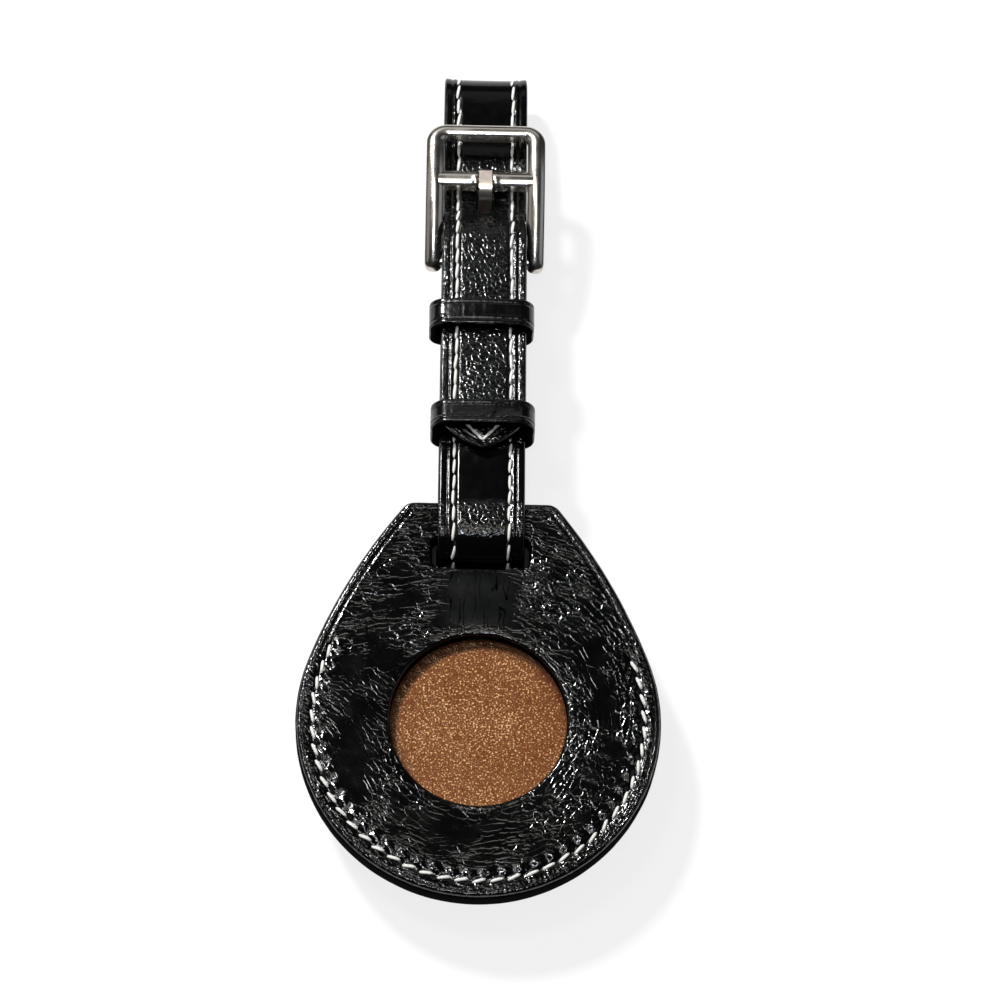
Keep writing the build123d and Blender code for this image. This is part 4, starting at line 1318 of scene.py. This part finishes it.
# The billet's hole is two half circles set apart, and the slit for the tongue is square.  Each
# is cut between two levels of the strap.
HOLE_RADIUS, HOLE_REACH, HOLE_LEVELS = 1.45, 1.05, (2.3, 9.6)
SLIT_HALF, SLIT_LEVELS = 1.6, (0.55, 5.55)
half_turn = np.linspace(-pi / 2, pi / 2, 12)
hole_outline = []
for side in (1, -1):
    angle = half_turn + side * pi / 2
    end_s = HOLE_S + side * HOLE_REACH + HOLE_RADIUS * np.sin(angle)
    hole_outline.append(np.stack([HOLE_RADIUS * np.cos(angle), end_s], -1))
cut(strap, *prism(np.concatenate(hole_outline), *HOLE_LEVELS))
slit_low, slit_high = LINING_END_S - 0.05, BUCKLE_BAR_S + WRAP_RADIUS + OUTER_LEATHER + 0.05
slit_sides = ((1, slit_low), (1, slit_high), (-1, slit_high), (-1, slit_low))
slit_outline = np.array([(side * SLIT_HALF, s) for side, s in slit_sides])
cut(strap, *prism(slit_outline, *SLIT_LEVELS))


# ---------------------------------------------------------------- buckle
FRAME_DEPTH = 2.8
BUCKLE_HALF = 9.3
OPENING_HALF = 6.6
TOP_BAR_S = BUCKLE_BAR_S + 19.7
TOP_BAR_HALF = 0.95
OUTER_CORNER = 3.0
INNER_CORNER = 0.8
BAR_RADIUS, BAR_REACH = 1.1, 7.9
BAR_LEVEL = LOOP_LINE - WRAP_RADIUS
MIDDLE_BAR_LEVEL = LOOP_LINE + OUTER_LEATHER + FILLER + 0.65 + FRAME_DEPTH / 2
MIDDLE_BAR_HALF, MIDDLE_BAR_HALF_DEPTH = 1.3, 1.4
CREST_RISE = 0.8
NOTCH_HALF = 1.15
EDGE_TILT, EDGE_RADIUS = radians(42), 0.16
arch_s, arch_level, arch_radius = circle_through(
    (BUCKLE_BAR_S, BAR_LEVEL), (MIDDLE_BAR_S, MIDDLE_BAR_LEVEL),
    (TOP_BAR_S + TOP_BAR_HALF + FRAME_DEPTH / 2, MIDDLE_BAR_LEVEL + CREST_RISE),
)


def crowned_section(half_width, half_depth):
    """Closed rings of (sideways, upward) points: arcs above and below, tilted at the sides.

    A quarter is R (sin a, cos a) for a up to the tilt, then a small arc that turns on to the
    side.  Heights are scaled to half_depth, and the quarter is mirrored both ways.
    half_width and half_depth are columns, one row for each ring.
    """
    edge = np.minimum(EDGE_RADIUS, half_width / 2)
    crown = (half_width - edge) / sin(EDGE_TILT) + edge
    over = np.linspace(0, EDGE_TILT, 9)[None]
    round_edge = np.linspace(EDGE_TILT, pi / 2, 5)[None, 1:]
    rounded_w = (crown - edge) * sin(EDGE_TILT) + edge * np.sin(round_edge)
    rounded_n = (crown - edge) * cos(EDGE_TILT) + edge * np.cos(round_edge)
    w = np.concatenate([crown * np.sin(over), rounded_w], axis=1)
    fallen = np.concatenate([crown * np.cos(over), rounded_n], axis=1)
    n = half_depth * (1 - (crown - fallen) / (FRAME_DEPTH / 2))
    right_w = np.concatenate([w, w[:, ::-1]], axis=1)
    right_n = np.concatenate([n, -n[:, ::-1]], axis=1)
    ring_w = np.concatenate([right_w[:, :-1], -right_w[:, :0:-1]], axis=1)
    ring_n = np.concatenate([right_n[:, :-1], right_n[:, :0:-1]], axis=1)
    return ring_w, ring_n


def on_arch(x, s, n):
    """Points of space at a sideways place, a place up the strap and a height off the arch."""
    level = arch_level + np.sqrt(arch_radius**2 - (s - arch_s) ** 2)
    slope = np.arctan2(arch_s - s, level - arch_level)
    return in_strap(x, s - n * np.sin(slope), level + n * np.cos(slope))


def buckle_frame():
    """Cast frame: a crowned section carried up one rail, over the top bar and down the other.

    The corner's outer and inner edges are arcs of their own radii, and the section's middle and
    half width are half their sum and difference.  A crowned middle bar with a notch for the
    tongue and a round bar in the strap's wrap join the rails.
    """
    lug = np.sin(np.linspace(pi / 2, 0, 9))[:-1] * FRAME_DEPTH / 2 * 0.995
    rail_s = np.concatenate([BUCKLE_BAR_S - lug, np.linspace(BUCKLE_BAR_S, TOP_BAR_S - 3.4, 34)])
    rail_outer = np.stack([0 * rail_s + BUCKLE_HALF, rail_s], -1)
    rail_inner = np.stack([0 * rail_s + OPENING_HALF, rail_s], -1)
    turn = np.linspace(0, pi / 2, 22)[:, None]
    circle = np.concatenate([np.cos(turn), np.sin(turn)], axis=1)
    top_s = TOP_BAR_S + TOP_BAR_HALF
    outer = np.array([BUCKLE_HALF - OUTER_CORNER, top_s - OUTER_CORNER]) + OUTER_CORNER * circle
    inner_top = TOP_BAR_S - TOP_BAR_HALF
    inner = np.array([OPENING_HALF - INNER_CORNER, inner_top - INNER_CORNER]) + INNER_CORNER * circle
    bar_x = np.linspace(5.4, 0, 14)
    bar_outer = np.stack([bar_x, 0 * bar_x + top_s], -1)
    bar_inner = np.stack([bar_x, 0 * bar_x + inner_top], -1)
    outer = np.concatenate([rail_outer, outer, bar_outer])
    inner = np.concatenate([rail_inner, inner, bar_inner])
    outer = np.concatenate([outer, (outer * (-1, 1))[-2::-1]])
    inner = np.concatenate([inner, (inner * (-1, 1))[-2::-1]])
    middle, sideways = (outer + inner) / 2, (outer - inner) / 2
    width = np.linalg.norm(sideways, axis=1, keepdims=True)
    below = np.clip((BUCKLE_BAR_S - middle[:, 1:]) / (FRAME_DEPTH / 2), 0, 1)
    w, n = crowned_section(width * (1 - below**3) ** 0.5, FRAME_DEPTH / 2 * np.sqrt(1 - below**2))
    flat = middle[:, None] + w[..., None] * (sideways / width)[:, None]
    shells = [on_arch(flat[..., 0], flat[..., 1], n)]

    notch_edge = [-NOTCH_HALF, -NOTCH_HALF + 0.08]
    x = np.concatenate([np.linspace(-7.4, -2.6, 10), np.linspace(-2.4, -1.25, 8), notch_edge])
    x = np.concatenate([x, [-0.5], -x[::-1]])[:, None]
    notched = rise(NOTCH_HALF - np.abs(x), -0.04, 0.04)
    swell = 1 + 0.07 * bell(np.abs(x) - 1.6, 0.4)
    w, n = crowned_section(MIDDLE_BAR_HALF * swell, MIDDLE_BAR_HALF_DEPTH * swell * np.ones_like(x))
    n = np.where(n > 0, n * (1 - 0.5 * notched), n)
    shells.append(in_strap(x + 0 * w, MIDDLE_BAR_S - w, MIDDLE_BAR_LEVEL + n))

    angle = np.linspace(0, 2 * pi, 24, endpoint=False)[None]
    x = np.linspace(-BAR_REACH, BAR_REACH, 3)[:, None] + 0 * angle
    s = BUCKLE_BAR_S - BAR_RADIUS * np.sin(angle) + 0 * x
    level = BAR_LEVEL + BAR_RADIUS * np.cos(angle) + 0 * x
    shells.append(in_strap(x, s, level))
    item = piece("buckle_cast_frame", *tubes(shells), [steel], "buckle", "buckle_steel", ("buckle_frame",))
    item.data.set_sharp_from_angle(angle=SHARP_ANGLE)


buckle_frame()


# ---------------------------------------------------------------- keepers
def section_ring(half, rise_height, corner, crown):
    """Closed ring of a rounded rectangle whose top is crowned, anticlockwise."""
    center = (half - corner, rise_height - corner)
    ring = rounded_ring(center, corner, 11, lambda k, length: (56, 20, 30, 20)[k])
    lift = crown * (1 - (ring[:, 0] / half) ** 2) * np.clip(ring[:, 1] / rise_height, 0, 1)
    return np.stack([ring[:, 0], ring[:, 1] + lift], -1)


BAND_STEPS = (0, 0.04, 0.1, 0.2, 0.34, 0.5, 0.64, 0.74, 0.84, 0.96)


def keeper(name, center_s, band, play, lean, body, replaced, seed, shift=0.0):
    """A leather loop: a banded profile carried round a crowned ring.

    A point lies n of the way from the inner ring to the outer one and b along the strap.  The
    outer face stands out by its relief: a crease 0.8 mm in from each cut edge, fine cracks along
    the strap, low waves and rounded edges.
    """
    low, high = LOOP_LINE - LINING_LEATHER - play, BILLET_LINE + OUTER_LEATHER + FILLER + play
    half, height = KEEPER_ROOM + play + abs(shift), (high - low) / 2
    inner = section_ring(half, height, 0.4, 0.5)
    outer = section_ring(half + OUTER_LEATHER, height + OUTER_LEATHER, 2.4, 0.5)
    step = np.hypot(*(np.roll(outer, -1, 0) - outer).T)
    run = np.concatenate([[0], np.cumsum(step)[:-1]])[:, None]
    length = step.sum()
    reach = band / 2
    b = np.concatenate([-reach + np.array(BAND_STEPS), [-1.05]])
    b = np.concatenate([b, np.linspace(-0.8, 0.8, 9), -b[::-1]])
    wall = np.linspace(0, 1, 5)[1:-1]
    b_all = np.concatenate([b, reach + 0 * wall, np.linspace(reach, -reach, 7), -reach + 0 * wall])
    n_all = np.concatenate([np.ones_like(b), 1 - wall, np.zeros(7), wall])
    is_out = (np.arange(len(b_all)) < len(b)).astype(float)
    turn = 2 * pi * run / length
    u, v = 4 * np.cos(turn), 4 * np.sin(turn)
    inset = reach - np.abs(b_all)
    crease = -0.10 * bell(inset - 0.8, 0.11) + 0.03 * bell(inset - 1.1, 0.2)
    cracks = 0.035 * furrows(run * 1.6, b_all * 0.35, 0 * run + seed, 1.1, seed, 3.0)
    flow = 0.05 * cloud(u * 1.5, v * 1.5, b_all + 0 * run, 3.5, seed + 1)
    relief = crease + flow + cracks * rise(inset, 0.1, 0.4) - rounding(inset, 0.30) - 0.02
    outward = outer - inner
    outward = outward / np.linalg.norm(outward, axis=-1, keepdims=True)
    flat = inner[:, None, :] + (outer - inner)[:, None, :] * n_all[None, :, None]
    flat = flat + outward[:, None, :] * (relief * is_out)[..., None]
    edge_wave = 0.05 * noise(u, v, np.sign(b_all) * 3.0, 2.5, seed + 5)
    b_grid = b_all + edge_wave * rise(np.abs(b_all), reach - 0.8, reach)
    tilt = radians(-lean)
    up = upward * cos(tilt) + np.cross(across, upward) * sin(tilt)
    axis = along * cos(tilt) + np.cross(across, along) * sin(tilt)
    origin = pivot + across * shift + along * center_s + upward * (low + height)
    points = origin + flat[..., :1] * across + flat[..., 1:] * up + b_grid[..., None] * -axis
    rows, columns = flat.shape[:2]
    faces = grid_faces(rows, columns, closed_rows=True, closed_columns=True)[:, ::-1]
    shade = (1 - is_out).astype(int)
    shade[len(b) - 1] = 1
    piece(
        name, points.reshape(-1, 3), faces, [keeper_calf, edge_paint], body, "glazed_leather",
        (replaced,), shades=np.tile(shade, rows),
    )


keeper("fixed_keeper_leather", FIXED_KEEPER_S, 4.4, 0.15, 0, "strap", "fixed_keeper", 121, -0.35)
keeper("sliding_keeper_leather", SLIDING_KEEPER_S, 4.0, 0.35, 6.0, "keeper", "sliding_keeper", 131)


# ---------------------------------------------------------------- stitches
def stitches(name, places, headings, normals, length, thickness, lift, body):
    """One thread stitch at each place: a tube whose ends dive into the leather.

    Its radius falls off as sqrt(1 - t^6) and its height as lift * (1 - t^2) - 0.12, for t from
    -1 to 1 along the stitch.
    """
    rings, sides = 6, 7
    t = np.linspace(-0.93, 0.93, rings)
    angle = np.linspace(0, 2 * pi, sides, endpoint=False)
    radius = thickness / 2 * np.sqrt(1 - t**6)
    sideways = np.cross(normals, headings)
    height = lift * (1 - t**2) - 0.12
    forward = headings[:, None] * (t * length / 2)[:, None]
    middle = places[:, None] + forward + normals[:, None] * height[:, None]
    loops = (
        middle[:, :, None]
        + sideways[:, None, None] * (radius[:, None] * np.cos(angle))[..., None]
        + normals[:, None, None] * (0.8 * radius[:, None] * np.sin(angle))[..., None]
    )
    poles = [places + headings * (side * length / 2) + normals * -0.14 for side in (-1, 1)]
    per_stitch = rings * sides + 2
    points = [loops.reshape(len(places), -1, 3), poles[0][:, None], poles[1][:, None]]
    points = np.concatenate(points, axis=1)
    faces = []
    for index in range(len(places)):
        faces += tube_faces(rings, sides, index * per_stitch)
    ring_uv = np.stack(np.broadcast_arrays(t[:, None] * length, angle / 2), -1).reshape(-1, 2)
    uv = np.concatenate([ring_uv, [(-length / 2, 0), (length / 2, 0)]])
    uv = np.tile(uv, (len(places), 1))
    piece(name, points.reshape(-1, 3), faces, [thread], body, "glazed_leather", uv=uv)


SEAM_SLANT = 14
rng = np.random.default_rng(7)


def seam_stitches(name, height, up):
    """The U seam of slanted stitches, on the face whose height is given."""
    count = seam_count
    travel = seam_start + (np.arange(count) + 0.5) * seam_pitch
    flat, heading = seam_point(travel)
    flat = flat + rng.normal(0, 0.05, flat.shape)
    turn = radians(SEAM_SLANT) + rng.normal(0, radians(4), count)
    u, v = heading.T
    turned = [u * np.cos(turn) - v * np.sin(turn), u * np.sin(turn) + v * np.cos(turn)]
    turned = np.stack(turned, -1)
    z = height(flat[:, 0], flat[:, 1])
    places = np.concatenate([flat, z[:, None]], -1)
    headings = np.concatenate([turned, 0 * z[:, None]], -1)
    normals = np.tile([0.0, 0.0, up], (count, 1))
    stitches(name, places, headings, normals, 2.1, 0.52, 0.20, "pocket")


seam_stitches("front_seam", front_top, 1.0)
seam_stitches("back_seam", back_low, -1.0)

def strap_stitches():
    """Two rows of stitches along the strap, and two stitches in each arm of the V at its tip."""
    places, headings, normals = [], [], []
    first, last = 5.4, strap_end - 0.8
    count = int((last - first) / STITCH_PITCH)
    middle = first + (np.arange(count) + 0.5) * (last - first) / count
    turned = strap_place(middle)[2][:, None]
    tangent = np.cos(turned) * along + np.sin(turned) * upward
    normal = -np.sin(turned) * along + np.cos(turned) * upward
    for side in (-1, 1):
        x = side * row_place(middle) + rng.normal(0, 0.05, count)
        slant = (radians(5) + rng.normal(0, radians(3), count))[:, None]
        places.append(strap_space(x, middle, strap_top(x[:, None], middle[:, None])[:, 0]))
        headings.append(tangent * np.cos(slant) + across * np.sin(slant))
        normals.append(normal)
    arm_length = np.hypot(STITCH_ROW, STITCH_ROW * V_SLOPE)
    for side in (-1, 1):
        for middle in (1.15, 3.6):
            share = middle / arm_length
            x = np.array([side * STITCH_ROW * share])
            gone = np.array([V_FOOT + STITCH_ROW * V_SLOPE * share])
            places.append(strap_space(x, gone, strap_top(x[:, None], gone[:, None])[:, 0]))
            direction = np.array([side * STITCH_ROW / arm_length, STITCH_ROW * V_SLOPE / arm_length])
            headings.append((direction[0] * across + direction[1] * along)[None])
            normals.append(upward[None])
    lines = (np.concatenate(part) for part in (places, headings, normals))
    stitches("strap_seams", *lines, 2.8, 0.48, 0.23, "strap")


strap_stitches()

# ---------------------------------------------------------------- finishes of the solids
# What these give the eye: the moulded ABS a white gloss, the cover a bright brushed mirror, the
# rubber seal and the chips a dull black, the cell and the magnet the grey shine of nickel, the
# springs gilt, the board a green satin, the antenna's carrier a pale satin and the coil copper.
plastic = moulded("glossy_abs_shell", "#e8e8e5", 0.18, 0.0, 0.5, 0.004, Coat_Weight=0.3)
cover_metal = moulded("brushed_cover_steel", "#b9b9ba", 0.24, 1.0, 0.15, 0.003)
seal = moulded("silicone_seal", "#191a1b", 0.6, 0.0, 0.4, 0.01)
cell = moulded("nickel_plated_cell", "#b3b2ae", 0.33, 1.0, 0.2, 0.003)
brass = moulded("gilt_spring_brass", "#d8b25e", 0.25, 1.0, 0.3, 0.002)
laminate = moulded("solder_mask_laminate", "#0f3a22", 0.35, 0.0, 0.6, 0.008)
chip = moulded("moulded_chip_epoxy", "#1c1c1d", 0.55, 0.0, 0.1, 0.004)
carrier = moulded("antenna_carrier_plastic", "#cfcbbf", 0.4, 0.0, 0.4, 0.005)
nickel = moulded("nickel_plated_magnet", "#b5b5b2", 0.2, 1.0, 0.4, 0.003)
copper = moulded("enamelled_copper_wire", "#b4622f", 0.3, 1.0, 0.12, 0.01)
FINISHES = {
    "front_lining": lining,
    "back_lining": lining,
    "buckle_tongue": tongue_steel,
    "tracker_shell": plastic,
    "battery_tray": plastic,
    "tracker_cover": cover_metal,
    "cover_gasket": seal,
    "coin_battery": cell,
    "battery_contacts": brass,
    "circuit_board": laminate,
    "board_chips": chip,
    "antenna_ring": carrier,
    "speaker_magnet": nickel,
    "voice_coil": copper,
}
for node, finish_material in FINISHES.items():
    frame["nodes"][node].material_slots[0].material = finish_material


# ---------------------------------------------------------------- floor and room
def pale_floor():
    """Matt white paper, lit from within for the eye so that it reads as white."""
    material, tree, shader = finish("white_paper", Base_Color=linear("#f4f4f2"), Roughness=0.9)
    rays = add(tree, "LightPath", output=None)
    seen = add(tree, "Math", rays["Is Camera Ray"], rays["Is Glossy Ray"], operation="MAXIMUM")
    seen = add(tree, "Math", seen, rays["Is Transmission Ray"], operation="MAXIMUM")
    glow = add(tree, "Emission", Strength=1.0)
    share = combine(tree, (seen, 0.8))
    mixed = add(tree, "MixShader", share, shader.outputs[0], glow)
    feed(tree, tree.nodes["Material Output"], Surface=mixed)
    return material


floor_mesh = bpy.data.meshes.new("floor")
floor_mesh.from_pydata([(-3, -3, 0), (3, -3, 0), (3, 3, 0), (-3, 3, 0)], [], [(0, 1, 2, 3)])
floor_mesh.materials.append(pale_floor())
floor = add_object("floor", floor_mesh)

world = bpy.data.worlds.new("studio")
bpy.context.scene.world = world
world.use_nodes = True
room = world.node_tree.nodes["Background"]
room.inputs["Color"].default_value = linear("#8d8f94")
room.inputs["Strength"].default_value = 0.10
